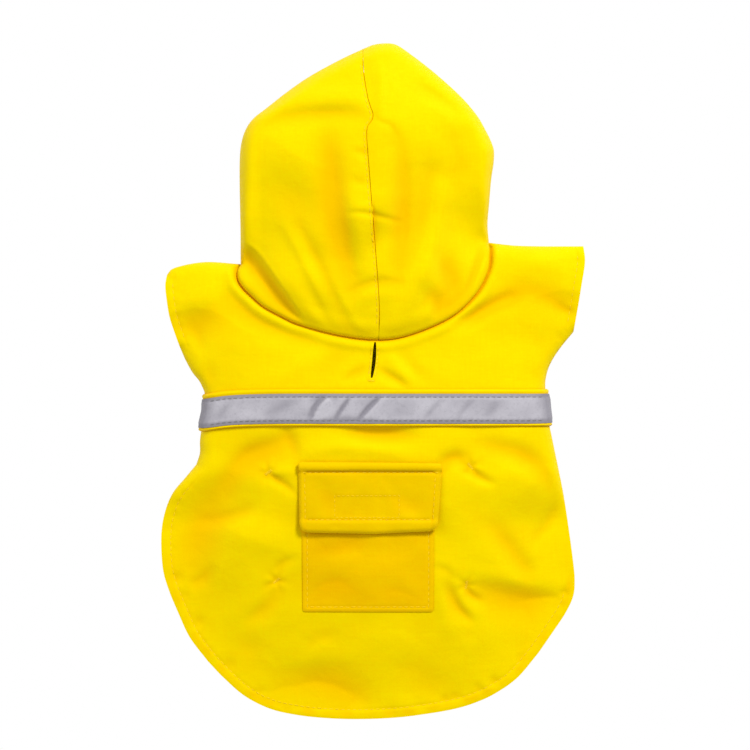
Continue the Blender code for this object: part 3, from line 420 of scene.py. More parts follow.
FLAP_CREASES = [
    (-0.7, 6, 6, [(-38, -74), (-31, -82), (-29, -92)]),
    (0.5, 7, 7, [(-22, -68), (4, -74), (24, -70)]),
    (-0.6, 6, 6, [(12, -82), (25, -88), (34, -85)]),
    (-0.5, 3, 3, [(20, -99), (27, -101)]),
    (-0.4, 3, 3, [(-30, -100), (-24, -102)]),
]
POCKET_CREASES = [
    (-0.8, 7, 7, [(-44, -152), (-30, -142), (-14, -144)]),
    (0.6, 9, 9, [(-40, -128), (-10, -126), (24, -132)]),
    (-0.7, 7, 7, [(6, -140), (18, -150), (34, -152)]),
    (-0.6, 6, 6, [(-46, -116), (-30, -118), (-8, -113)]),
]
TAPE_STAND = 0.55          # how far the tape bulges between its two rows of stitches
TAPE_CREASES = [
    (-1.5, 1.1, 2, [(-33.5, -11), (-39.5, -17.5), (-43.4, -26)]),
    (0.6, 2, 2.5, [(-30.5, -11), (-35.5, -17.5), (-39, -26)]),
    (-1, 1.1, 1.8, [(-16.5, -12), (-21, -18.5), (-26, -26)]),
    (-1.4, 1.1, 1.8, [(4.5, -11.5), (-3, -19), (-9.5, -26)]),
    (0.5, 2, 2.5, [(7.5, -12), (0.5, -19), (-5.5, -26.5)]),
    (-0.3, 1.8, 2.4, [(48.5, -13), (42, -18.5), (36, -26)]),
    (-0.3, 1.8, 2.4, [(70, -13), (64, -18.5), (58, -26)]),
    (-0.25, 2.4, 3, [(-96, -13), (-103, -19), (-107, -27)]),
    (0.25, 3, 3, [(-29, -12), (-33, -18), (-38, -26)]),
    (-0.35, 1.5, 2, [(-45, -13.5), (-34, -11.5), (-24, -12.5)]),
    (-0.2, 3, 4, [(-75, -24), (-62, -17), (-52, -12)]),
    (-0.2, 3, 3, [(88, -14), (82, -20), (78, -26)]),
    (-0.3, 2, 2, [(-36, -27), (-20, -26), (2, -27)]),
]
# Folds of the flat underside stand up into the coat: height, widths, points
UNDER_CREASES = [
    (0.9, 6, 4, [(-118, -40), (-80, -30), (-48, -34)]),
    (0.8, 5, 5, [(-128, 40), (-96, 32), (-60, 40)]),
    (1, 4, 6, [(118, -14), (84, -22), (52, -16)]),
    (0.8, 5, 5, [(132, 50), (102, 46), (70, 58)]),
    (0.7, 4, 4, [(-90, -52), (-60, -48), (-30, -54)]),
    (0.7, 4, 4, [(96, -54), (70, -46), (36, -50)]),
    (0.8, 4, 5, [(-76, 12), (-52, 2), (-30, 8)]),
    (0.7, 4, 4, [(40, 10), (64, 4), (92, 12)]),
]
HOOD_UNDER_CREASES = [
    (0.9, 4, 5, [(-84, 100), (-74, 118), (-78, 146)]),
    (0.8, 4, 4, [(-60, 176), (-40, 190), (-18, 204)]),
    (0.9, 5, 4, [(74, 100), (66, 122), (70, 150)]),
    (0.8, 4, 4, [(60, 168), (42, 188), (20, 206)]),
    (0.7, 3.5, 3.5, [(-5, 184), (-8, 204), (-6, 222)]),
]


def smooth_curve(points, spacing=1.5):
    """Points about `spacing` apart on a Catmull-Rom curve through `points`."""
    knots = np.array(points, dtype=float)
    guides = np.vstack([2 * knots[0] - knots[1], knots, 2 * knots[-1] - knots[-2]])
    pieces = []
    for a, b, c, d in zip(guides, guides[1:], guides[2:], guides[3:]):
        count = max(2, int(np.ceil(np.linalg.norm(c - b) / spacing)))
        t = (np.arange(count) / count)[:, None]
        linear = 2 * b + (c - a) * t
        square = (2 * a - 5 * b + 4 * c - d) * t ** 2
        cube = (3 * b - a - 3 * c + d) * t ** 3
        pieces.append(0.5 * (linear + square + cube))
    return np.vstack(pieces + [knots[-1:]])


def join(*runs):
    """One polyline from runs that follow each other."""
    return np.vstack([run[:-1] for run in runs[:-1]] + [runs[-1]])


def travelled(curve):
    """Length run so far at each point of a polyline."""
    steps = np.linalg.norm(np.diff(curve, axis=0), axis=1)
    return np.concatenate([[0.0], np.cumsum(steps)])


def along(values, shares, curve=None):
    """Values at the given shares of a polyline's length, by default its own points."""
    run = travelled(values if curve is None else curve)
    places = np.asarray(shares) * run[-1]
    return np.column_stack([np.interp(places, run, column) for column in values.T])


def looped(outline):
    """A closed outline with its first point again at its end."""
    return np.vstack([outline, outline[:1]])


def spaced(run, spacing=FINE):
    """Points evenly spaced along a polyline."""
    count = max(1, int(round(travelled(run)[-1] / spacing)))
    return along(run, np.linspace(0.0, 1.0, count + 1))


def unit(vectors):
    """Vectors scaled to length 1."""
    return vectors / np.linalg.norm(vectors, axis=1)[:, None]


def left_of(curve):
    """Unit vectors to the left of a polyline's own direction."""
    direction = unit(np.gradient(curve, axis=0))
    return np.column_stack([-direction[:, 1], direction[:, 0]])


def moved_left(run, distance):
    """A polyline moved to its left."""
    return run + distance * left_of(run)


def find_nearest(x, y, curve):
    """Distance to a polyline, the run along it and the signed offset to its left."""
    shape = np.shape(x)
    points = np.column_stack([np.ravel(x), np.ravel(y)])
    start, span = curve[:-1], np.diff(curve, axis=0)
    length = np.linalg.norm(span, axis=1)
    run = travelled(curve)
    miss, place, side = (np.empty(len(points)) for _ in range(3))
    for first in range(0, len(points), BLOCK):
        some = slice(first, first + BLOCK)
        offset = points[some, None, :] - start[None, :, :]
        share = np.clip((offset * span).sum(axis=2) / length ** 2, 0.0, 1.0)
        gap = np.linalg.norm(offset - share[:, :, None] * span, axis=2)
        best = gap.argmin(axis=1)
        rows = np.arange(len(best))
        miss[some] = gap[rows, best]
        place[some] = run[best] + share[rows, best] * length[best]
        near = offset[rows, best]
        side[some] = (span[best, 0] * near[:, 1] - span[best, 1] * near[:, 0]) / length[best]
    return miss.reshape(shape), place.reshape(shape), side.reshape(shape)


def distance(x, y, *runs):
    """Distance to the nearest of some polylines."""
    return np.minimum.reduce([find_nearest(x, y, run)[0] for run in runs])


def rounded(value, width):
    """Quarter-ellipse rise from 0 at an edge to 1 at `width` from it."""
    rest = 1.0 - np.clip(value / width, 0.0, 1.0)
    return np.sqrt(1.0 - rest ** 2)


def ease(value):
    """Smooth step from 0 to 1."""
    t = np.clip(value, 0.0, 1.0)
    return t * t * (3.0 - 2.0 * t)


def ease_out(value):
    """Rise that starts straight and levels off at 1."""
    return 1.0 - (1.0 - np.clip(value, 0.0, 1.0)) ** 2


def bell(value, width):
    """1 at 0, falling off over the width."""
    return np.exp(-(value / width) ** 2)


# Runs of the outline as fine polylines
hood_left_edge = smooth_curve(HOOD_LEFT_EDGE)
hood_right_edge = smooth_curve(HOOD_RIGHT_EDGE)
hood_seam = smooth_curve(HOOD_SEAM)
neck = smooth_curve(NECK)
face_left = smooth_curve(FACE_LEFT)
face_right = smooth_curve(FACE_RIGHT)
neckline_left = smooth_curve(NECKLINE_LEFT)
neckline_right = smooth_curve(NECKLINE_RIGHT)
shoulder_left = smooth_curve(SHOULDER_LEFT)
shoulder_right = smooth_curve(SHOULDER_RIGHT)
cuff_left = smooth_curve(CUFF_LEFT)
cuff_right = smooth_curve(CUFF_RIGHT)
side_left = smooth_curve(SIDE_LEFT)
side_right = smooth_curve(SIDE_RIGHT)
skirt_left = smooth_curve(SKIRT_LEFT)
skirt_right = smooth_curve(SKIRT_RIGHT)
hem = smooth_curve(HEM)
back_seam = smooth_curve(BACK_SEAM)
closed_left = join(side_left[::-1], smooth_curve(WAIST_LEFT), smooth_curve(UNDERARM_LEFT))
closed_right = join(side_right[::-1], smooth_curve(WAIST_RIGHT), smooth_curve(UNDERARM_RIGHT))
skirt_edge = join(skirt_left, hem, skirt_right[::-1])
hood_edge = join(hood_left_edge[::-1], hood_right_edge)
slit = smooth_curve([SLIT_BOTTOM, (0.6, 14.0), SLIT_TOP], 1.0)
right_fold = skirt_right[skirt_right[:, 1] < SKIRT_RIGHT_FOLD_Y][::-1]
hem_run = join(skirt_left, hem, right_fold)


def crease_relief(x, y, creases):
    """Height that a table of creases adds; each has its own width to either side.

    A crease is a line blurred by its width, so it stays smooth inside a bend and
    fades at its ends.
    """
    x, y = np.asarray(x, float), np.asarray(y, float)
    relief = np.zeros(x.shape)
    for height, left, right, points in creases:
        line = smooth_curve(points, spacing=0.7 * min(left, right))
        run = travelled(line)
        step = np.gradient(run)
        ahead = np.gradient(line, axis=0) / step[:, None]
        taper = 0.3 + 0.7 * np.abs(np.sin(np.pi * run / run[-1])) ** 0.7
        strength = height * taper * step
        margin = 2.6 * max(left, right)
        low, high = line.min(axis=0) - margin, line.max(axis=0) + margin
        close = np.flatnonzero((x > low[0]) & (x < high[0]) & (y > low[1]) & (y < high[1]))
        for first in range(0, len(close), BLOCK):
            some = close[first:first + BLOCK]
            dx = x[some, None] - line[:, 0]
            dy = y[some, None] - line[:, 1]
            gap = dx ** 2 + dy ** 2
            near = np.exp(-gap / max(left, right) ** 2) + 1e-9
            side = (near * (ahead[:, 0] * dy - ahead[:, 1] * dx)).sum(axis=1) / near.sum(axis=1)
            lean = 0.5 + 0.5 * side / np.hypot(side, 0.6 * min(left, right))
            for width, part in ((left, lean), (right, 1.0 - lean)):
                cover = np.exp(-gap / width ** 2) @ strength
                relief[some] += part * cover / (width * np.sqrt(np.pi))
    return relief


def flutter(x, y, shift=0.0):
    """Long, low unevenness of laid cloth."""
    total = np.zeros(np.shape(x))
    for angle, length, phase, height in FLUTTER:
        c, s = np.cos(np.radians(angle)), np.sin(np.radians(angle))
        bend = 0.9 * np.sin(2 * np.pi * (y * c - x * s) / (1.7 * length) + phase + shift)
        total = total + height * np.sin(2 * np.pi * (x * c + y * s) / length + phase + shift + bend)
    return total


def hem_relief(to_edge, run, stitch):
    """A turned hem: a thicker margin, a groove at its stitches and small uneven puckers."""
    margin = 0.12 * ease((stitch + 0.4 - to_edge) / 1.5)
    roll = -0.25 * bell(to_edge, 0.9)
    groove = -0.3 * bell(to_edge - stitch, 0.8)
    wobble = np.sin(run / 1.35 + 1.2 * np.sin(run / 11.0)) * (0.6 + 0.4 * np.sin(run / 17.0))
    pucker = 0.12 * wobble * bell(to_edge - stitch, 3.2)
    return margin + roll + groove + pucker


def hem_wave(x, y):
    """Long uneven waves that lift the skirt's hem off the table."""
    turn = np.arctan2(x, SKIRT_START_Y - y)
    wave = 0.5 + 0.3 * np.sin(5.0 * turn + 0.6) + 0.2 * np.sin(11.0 * turn + 2.0)
    return HEM_WAVE * np.clip(wave, 0.0, 1.0)


def tack_relief(x, y):
    """The dimple and the star of puckers round each bar tack."""
    relief = np.zeros(np.shape(x))
    for tack_x, tack_y, _, deepest in TACKS:
        reach = np.hypot(x - tack_x, y - tack_y)
        turn = np.arctan2(y - tack_y, x - tack_x) - np.radians(deepest)
        star = -np.cos(5.0 * turn) * (reach / 5.0) * bell(reach, 6.5)
        tail = -1.6 * np.clip(np.cos(turn), 0.0, 1.0) ** 12 * (reach / 5.0) * bell(reach, 8.0)
        relief = relief - TACK_DEPTH * bell(reach, TACK_RADIUS) + TACK_STAR * (star + tail)
    return relief


def distance_to_sides(x, y):
    """Distance to the folded sides, with the underarms and the shoulders."""
    return distance(x, y, shoulder_left, shoulder_right, closed_left, closed_right)


def skirt_share(y):
    """0 on the closed body, rising to 1 on the open skirt."""
    return ease((SKIRT_START_Y - y) / (SKIRT_START_Y - SKIRT_END_Y))


def back_form(x, y):
    """The large form of the yoke and the back, with the distances to its edges."""
    to_closed = distance_to_sides(x, y)
    to_skirt, skirt_place, _ = find_nearest(x, y, skirt_edge)
    to_edge = np.minimum(to_closed, to_skirt)
    to_cuff = distance(x, y, cuff_left, cuff_right)
    skirt = skirt_share(y)
    rim = (1.0 - skirt) * (SEAM_HEIGHT + SEAM_GAP) + skirt * (CLOTH + 0.2 + hem_wave(x, y))
    side = (1.0 - skirt) * rounded(to_edge, SIDE_ROUNDING) + skirt * ease(to_edge / SKIRT_ROUNDING)
    crown = (1.0 - skirt) * ease_out(to_edge / CROWN_REACH) + skirt * ease(to_edge / CROWN_REACH)
    tail = 1.0 - (1.0 - TAIL_LOFT) * ease((TAIL_START_Y - y) / TAIL_RUN)
    shoulder = 1.0 - (1.0 - NECK_LOFT) * ease((y - NECK_START_Y) / NECK_RUN)
    cuff = 1.0 - (1.0 - CUFF_LOFT) * (1.0 - ease(to_cuff / CUFF_REACH))
    form = rim + (SIDE_RISE * side + CROWN_RISE * crown) * tail * shoulder * cuff
    return form, to_edge, to_skirt, skirt_place, to_cuff


def seam_level(x):
    """Height in plan of the seam that the band covers."""
    return np.interp(x, back_seam[:, 0], back_seam[:, 1])


def back_height(x, y):
    """Outer surface of the yoke and the back panel with its creases."""
    form, to_edge, to_skirt, skirt_place, to_cuff = back_form(x, y)
    calm = ease((np.abs(y - seam_level(x)) - BAND_CALM) / 7.0)
    inner = ease((to_edge - 0.8) / 9.0)
    relief = (crease_relief(x, y, BODY_CREASES) + flutter(x, y)) * inner * calm
    relief = relief + tack_relief(x, y)
    for px, py, radius, depth in HEM_PUCKERS:
        relief = relief - depth * bell(np.hypot(x - px, y - py), radius)
    to_neck, neck_place, _ = find_nearest(x, y, neck)
    roll = NECK_ROLL * bell(to_neck - NECK_ROLL_PLACE, NECK_ROLL_WIDTH)
    ends = neck_ends(neck_place)
    dip = -(NECK_DIP + END_DIP * ends) * bell(to_neck, NECK_DIP_WIDTH + END_DIP_WIDTH * ends)
    relief = relief * ease(to_neck / 6.0) + roll * ease(to_edge / 8.0) + dip * ease(to_edge / 3.0)
    shown = ease((-y - 62.0) / 12.0)
    folded = ease((x - 110.0) / 6.0) * ease((y - SKIRT_RIGHT_FOLD_Y) / 5.0)
    relief = relief + hem_relief(to_skirt, skirt_place, HEM_STITCH) * shown * (1.0 - folded)
    cuff_place = np.where(x < 0.0, find_nearest(x, y, cuff_left)[1],
                          find_nearest(x, y, cuff_right)[1])
    relief = relief + hem_relief(to_cuff, cuff_place, CUFF_STITCH) * ease((to_edge - 1.0) / 3.0)
    to_slit = find_nearest(x, y, slit)[0]
    lip = 0.5 * bell(to_slit - 1.9, 0.9) - 0.25 * bell(to_slit - 3.4, 0.8)
    height = form + relief + lip
    return np.maximum(height, CLOTH + 0.1)


def neck_ends(place):
    """0 along most of the neck seam, rising to 1 at its two ends."""
    return np.abs(2.0 * place / travelled(neck)[-1] - 1.0) ** 5


def near_neck(x, y):
    """Distance to the neck seam, the yoke's height there and how far the seam lies below it.

    Each is a blend over the nearest stretch of the seam, so nothing jumps where the
    nearest point changes from one end of the seam to the other.
    """
    knots = spaced(neck, 2.5)
    form, to_edge = back_form(*knots.T)[:2]
    dip = (NECK_DIP + END_DIP * neck_ends(travelled(knots))) * ease(to_edge / 3.0)
    gap = np.hypot(x[:, None] - knots[:, 0], y[:, None] - knots[:, 1])
    weight = np.exp((gap.min(axis=1)[:, None] - gap) / NECK_BLEND)
    weight /= weight.sum(axis=1)[:, None]
    return (weight * gap).sum(axis=1), weight @ (form - NECK_TUCK), weight @ dip


def fold_height(x, y):
    """Height at which the hood's edge folds round to its underside."""
    neck_end = np.where(x < 0.0, HOOD_LEFT_EDGE[-1][1], HOOD_RIGHT_EDGE[-1][1])
    start = SEAM_HEIGHT + HALF_GAP
    return start + (FOLD_HEIGHT - start) * ease((y - neck_end) / FOLD_REACH)


def hood_height(x, y):
    """Outer surface of the hood's upper side with its creases."""
    to_edge = find_nearest(x, y, hood_edge)[0]
    to_neck, place, _ = find_nearest(x, y, neck)
    to_seam, seam_place, seam_side = find_nearest(x, y, hood_seam)
    dome = fold_height(x, y) + HOOD_SIDE_RISE * rounded(to_edge, HOOD_ROUNDING)
    dome = dome + HOOD_CROWN_RISE * ease_out(to_edge / HOOD_CROWN_REACH)
    inwards, level, dip = near_neck(x, y)
    inwards = to_neck + (inwards - to_neck) * ease((to_neck - 2.0) / 12.0)
    edge = rounded(to_neck, NECK_ROUNDING * (1.0 + 0.5 * neck_ends(place)))
    rise = level - dip + (NECK_RISE + dip) * edge
    rise = rise + NECK_CROWN * ease_out(inwards / NECK_REACH)
    rise = rise + NECK_RELEASE * ease((inwards - NECK_REACH / 2) / NECK_REACH)
    inside = np.minimum(to_edge, to_neck)
    blend = DOME_BLEND * ease(inside / DOME_BLEND_REACH)
    height = 0.5 * (dome + rise - np.sqrt((dome - rise) ** 2 + blend ** 2))
    relief = crease_relief(x, y, HOOD_CREASES) + flutter(x, y, 2.0)
    relief = relief * ease((inside - 0.8) / 7.0)
    sunk = SEAM_VALLEY * bell(to_seam, SEAM_VALLEY_WIDTH) + SEAM_SINK * bell(to_seam, SEAM_SINK_WIDTH)
    sunk = sunk * (0.85 + 0.15 * np.sin(seam_place / 4.3))
    row = 0.18 * bell(seam_side + HOOD_STITCH, 0.8)
    return height + relief - (sunk + row) * ease(inside / 8.0)


def flange_reach(y):
    """How far the left half's cloth passes under the right half's edge."""
    return FLANGE * ease((FLANGE_HIGH_Y - 14.0 - y) / 14.0) * ease((y - FLANGE_LOW_Y - 10.0) / 12.0)


def flange_drop(x, y):
    """How far the left half steps down just before the seam."""
    side = find_nearest(x, y, hood_seam)[2]
    ends = ease((FLANGE_HIGH_Y - y) / 10.0) * ease((y - FLANGE_LOW_Y) / 8.0)
    near = distance(x, y, hood_seam) < 2.0 * FLANGE
    return FLANGE_DROP * ease((side + 0.75) / 0.55) * ends * near


def inside_of(points, outline):
    """Which points lie inside a closed outline."""
    x, y = points[:, 0], points[:, 1]
    crossings = np.zeros(len(points), int)
    for (x1, y1), (x2, y2) in zip(outline, np.roll(outline, -1, axis=0)):
        if y1 == y2:
            continue
        crossings += ((y1 > y) != (y2 > y)) & (x < (x2 - x1) * (y - y1) / (y2 - y1) + x1)
    return crossings % 2 == 1


def layer_points(layers, outline):
    """Points in rows beside some runs of an outline."""
    rows = [np.zeros((0, 2))]
    for run, steps in layers:
        base = spaced(run)
        for side in (-1.0, 1.0):
            for step in steps:
                row = moved_left(base, side * step)
                clear = distance(*row.T, *[other for other, _ in layers])
                rows.append(row[(clear > 0.93 * step) & inside_of(row, outline)])
    return np.vstack(rows)


def lattice_points(outline, spacing, layers):
    """A triangular lattice that keeps off the outline and its layers."""
    low, high = outline.min(axis=0), outline.max(axis=0)
    rise = spacing * np.sqrt(0.75)
    rows = np.arange(low[1] + rise / 2, high[1], rise)
    columns = np.arange(low[0], high[0] + spacing, spacing)
    grid_x, grid_y = np.meshgrid(columns, rows)
    grid_x = grid_x + spacing / 2 * (np.arange(len(rows)) % 2)[:, None]
    points = np.column_stack([grid_x.ravel(), grid_y.ravel()])
    points = points[inside_of(points, outline)]
    clear = distance(*points.T, looped(outline)) > 0.5 * spacing
    for run, steps in layers:
        clear &= find_nearest(*points.T, run)[0] > steps[-1] + 0.5 * spacing
    return points[clear]


def plan_mesh(outline, layers, spacing=FINE, hole=None):
    """Triangulated plan of a panel: points, upward faces and the outline's indices."""
    loose = np.vstack([layer_points(layers, outline), lattice_points(outline, spacing, layers)])
    edges = []
    if hole is not None:
        loose = loose[(distance(*loose.T, looped(hole)) > 0.5) & ~inside_of(loose, hole)]
        first = len(outline)
        edges = [(first + k, first + (k + 1) % len(hole)) for k in range(len(hole))]
        loose = np.vstack([hole, loose])
    border = list(range(len(outline)))
    given = np.vstack([outline, loose])
    made = delaunay_2d_cdt([tuple(point) for point in given], edges, [border], 1, 0.00001)
    plan = np.array([given[sources[0]] for sources in made[3]])
    place = {source: index for index, sources in enumerate(made[3]) for source in sources}
    faces = np.array([list(face) for face in made[2]])
    a, b, c = plan[faces[:, 0]], plan[faces[:, 1]], plan[faces[:, 2]]
    turn = (b[:, 0] - a[:, 0]) * (c[:, 1] - a[:, 1]) - (b[:, 1] - a[:, 1]) * (c[:, 0] - a[:, 0])
    faces[turn < 0] = faces[turn < 0][:, ::-1]
    if hole is not None:
        faces = faces[~inside_of((a + b + c) / 3.0, hole)]
    return plan, faces, [place[index] for index in border]


def point_normals(points, faces):
    """Area-weighted normal at each point."""
    a, b, c = (points[faces[:, k]] for k in range(3))
    face_normal = np.cross(b - a, c - a)
    normals = np.zeros_like(points)
    for column in range(3):
        np.add.at(normals, faces[:, column], face_normal)
    length = np.linalg.norm(normals, axis=1)
    return normals / np.maximum(length, 1e-12)[:, None]


def split_quads(quads):
    """Two triangles for each quad."""
    quads = np.asarray(quads)
    return np.vstack([quads[:, [0, 1, 2]], quads[:, [0, 2, 3]]])


def grid_faces(rows, columns):
    """Triangles of a grid of points, stored row by row."""
    first = (np.arange(rows - 1)[:, None] * columns + np.arange(columns - 1)).ravel()
    return split_quads(np.column_stack([first, first + 1, first + columns + 1, first + columns]))


def add_mesh(name, points, faces, look, sharp=50.0):
    """Make an object from points in millimetres and triangles."""
    mesh = bpy.data.meshes.new(name)
    mesh.vertices.add(len(points))
    mesh.vertices.foreach_set("co", (points * MM).ravel())
    mesh.loops.add(len(faces) * 3)
    mesh.loops.foreach_set("vertex_index", faces.ravel().astype(np.int32))
    mesh.polygons.add(len(faces))
    mesh.polygons.foreach_set("loop_start", np.arange(len(faces), dtype=np.int32) * 3)
    mesh.update(calc_edges=True)
    mesh.validate()
    mesh.shade_smooth()
    mesh.set_sharp_from_angle(angle=np.radians(sharp))
    made = bpy.data.objects.new(name, mesh)
    mesh.materials.append(look)
    bpy.context.scene.collection.objects.link(made)
    return made


def shell(name, outer, faces, thickness, look, rim_cut=None, hollow=None):
    """A closed thin shell: the outer surface, moved in by the thickness inside.

    `rim_cut` says how each point is cut at the rim: 1 level, -1 upright and 0 along
    the normal. `hollow` is painted shade from 0 to 1 for the material.
    """
    normals = point_normals(outer, faces)
    if rim_cut is not None:
        normals[:, 2] *= 1.0 - np.maximum(rim_cut, 0.0)
        normals[:, :2] *= (1.0 + np.minimum(rim_cut, 0.0))[:, None]
        normals = unit(normals)
    inner = outer - thickness * normals
    count = len(outer)
    starts, ends = faces.ravel(), np.roll(faces, -1, axis=1).ravel()
    used = set(zip(starts.tolist(), ends.tolist()))
    rim = np.array([(a, b) for a, b in zip(starts, ends) if (b, a) not in used])
    quads = np.column_stack([rim[:, 1], rim[:, 0], rim[:, 0] + count, rim[:, 1] + count])
    all_faces = np.vstack([faces, faces[:, ::-1] + count, split_quads(quads)])
    made = add_mesh(name, np.vstack([outer, inner]), all_faces, look)
    shade = made.data.attributes.new("hollow", "FLOAT", "POINT")
    values = np.zeros(2 * count) if hollow is None else np.concatenate([hollow, hollow])
    shade.data.foreach_set("value", values.astype(np.float32))
    return made


def hollowness(height, smooth):
    """How far a surface lies below its smooth form, from 0 to 1, for painted shade."""
    return np.clip((smooth - height) / 3.0, 0.0, 1.0)


def levels_between(run, low, high):
    """Points on a run that rises in y, from one level to another."""
    count = max(2, int(round(abs(high - low) / FINE)) + 1)
    order = np.argsort(run[:, 1])
    y = np.linspace(low, high, count)
    return np.column_stack([np.interp(y, run[order, 1], run[order, 0]), y])


def waist_ends(offset):
    """Where a row `offset` above the waist seam meets the two sides."""
    ends = []
    for run, index in ((closed_left, 0), (closed_right, -1)):
        level = BACK_SEAM[index][1] + offset
        ends.append(levels_between(run, level, level)[0, 0])
    return ends


def waist_row(offset):
    """Points across the waist, `offset` above the seam."""
    ends = waist_ends(offset)
    count = int(round((ends[1] - ends[0]) / FINE)) + 1
    x = np.linspace(ends[0], ends[1], count)
    return np.column_stack([x, seam_level(x) + offset])


def slit_outline():
    """The leash slit as a narrow leaf."""
    shares = np.linspace(0.0, 1.0, 26)
    spine = along(slit, shares)
    half = SLIT_WIDTH / 2 * np.sin(np.pi * np.clip(shares, 0.02, 0.98)) ** 0.3
    side = left_of(spine)
    return np.vstack([spine - side * half[:, None], (spine + side * half[:, None])[::-1]])


def painted_hem_shade(x, y, skirt):
    """Painted shade: uneven darker patches just inside the skirt's hem, stronger towards the tail."""
    to_skirt, place, _ = find_nearest(x, y, skirt_edge)
    uneven = 0.5 + 0.3 * np.sin(place / 5.1 + 1.3 * np.sin(place / 13.0)) + 0.2 * np.sin(place / 2.3)
    low = ease((-y - 105.0) / 40.0)
    return PAINTED_HEM_SHADE * skirt * low * uneven * bell(to_skirt - 3.6, 2.6)


def back_shell(name, outline, layers, look, hole=None):
    """The yoke or the back panel as a shell on the back's surface."""
    plan, faces, _ = plan_mesh(outline, layers, hole=hole)
    x, y = plan.T
    form, to_edge = back_form(x, y)[:2]
    height = back_height(x, y)
    skirt = skirt_share(y)
    seamed = distance(x, y, neck, back_seam) < GAP
    rim_cut = np.where(to_edge < 0.02, 1.0 - skirt, -1.0 * seamed)
    outer = np.column_stack([x, y, height])
    # painted shade: where the surface lies below its smooth form, and along the hem
    hollow = hollowness(height, form) + painted_hem_shade(x, y, skirt)
    return shell(name, outer, faces, CLOTH, look, rim_cut, np.clip(hollow, 0.0, 1.0))


def make_yoke(look):
    """Shoulders and sleeves, from the neck seam down to the seam under the band."""
    low_left, low_right = BACK_SEAM[0][1] + HALF_GAP, BACK_SEAM[-1][1] + HALF_GAP
    right = levels_between(closed_right, low_right, closed_right[-1, 1])
    left = levels_between(closed_left, low_left, closed_left[-1, 1])
    neck_edge = moved_left(spaced(neck), -SEAM_GAP)[::-1]
    outline = np.vstack([waist_row(HALF_GAP)[:-1], right[:-1], spaced(cuff_right)[:-1],
                         spaced(shoulder_right)[::-1][:-1], neck_edge,
                         spaced(shoulder_left)[::-1][1:-1], spaced(cuff_left)[::-1][:-1],
                         left[::-1][:-1]])
    layers = [(neck, NECK_STEPS), (cuff_left, CUFF_STEPS), (cuff_right, CUFF_STEPS),
              (shoulder_left, SIDE_STEPS), (shoulder_right, SIDE_STEPS),
              (closed_left, SIDE_STEPS), (closed_right, SIDE_STEPS)]
    return back_shell("yoke_cloth", outline, layers, look, slit_outline())


def make_back(look):
    """The back from the seam under the band to the hem."""
    high_left, high_right = BACK_SEAM[0][1] - HALF_GAP, BACK_SEAM[-1][1] - HALF_GAP
    left = levels_between(closed_left, closed_left[0, 1], high_left)
    right = levels_between(closed_right, closed_right[0, 1], high_right)
    outline = np.vstack([waist_row(-HALF_GAP)[::-1][:-1], left[::-1][:-1],
                         spaced(skirt_left)[:-1], spaced(hem)[:-1],
                         spaced(skirt_right)[::-1][:-1], right[:-1]])
    layers = [(skirt_edge, HEM_STEPS), (closed_left, SIDE_STEPS), (closed_right, SIDE_STEPS)]
    return back_shell("back_cloth", outline, layers, look)


def push_over(points, to_neck, place):
    """Let the hood hang over the neck seam, most at the seam's two ends."""
    run = travelled(neck)
    ends = np.abs(2.0 * place / run[-1] - 1.0)
    reach = OVERHANG * (0.35 + 0.65 * ends ** 2)
    share = np.clip(to_neck / OVERHANG_REACH, 0.0, 1.0)
    push = reach * np.sin(np.pi * share ** 0.55) * np.exp(-1.2 * share)
    away = left_of(neck)
    direction = np.column_stack([np.interp(place, run, away[:, k]) for k in (0, 1)])
    moved = points.copy()
    moved[:, :2] -= push[:, None] * direction
    return moved


def under_rows(fold, levels, face_run):
    """The hood's under side: round the fold, then flat to the face opening."""
    shares = travelled(fold) / travelled(fold)[-1]
    ends = along(face_run, shares ** FACE_SPACING)
    chord = ends - fold
    length = np.linalg.norm(chord, axis=1)
    rows = []
    for turn in np.radians([12.0, 25.0, 38.0, 50.0, 62.0, 75.0, 90.0]):
        reach = (levels * (1.0 - np.cos(turn)) / length)[:, None]
        rows.append(np.column_stack([fold + reach * chord, levels * (1.0 - np.sin(turn))]))
    start = levels / length
    for share in np.linspace(0.0, 1.0, 19)[1:]:
        reach = (start + (1.0 - start) * share)[:, None]
        rows.append(np.column_stack([fold + reach * chord, np.zeros(len(fold))]))
    return np.stack(rows, axis=1)


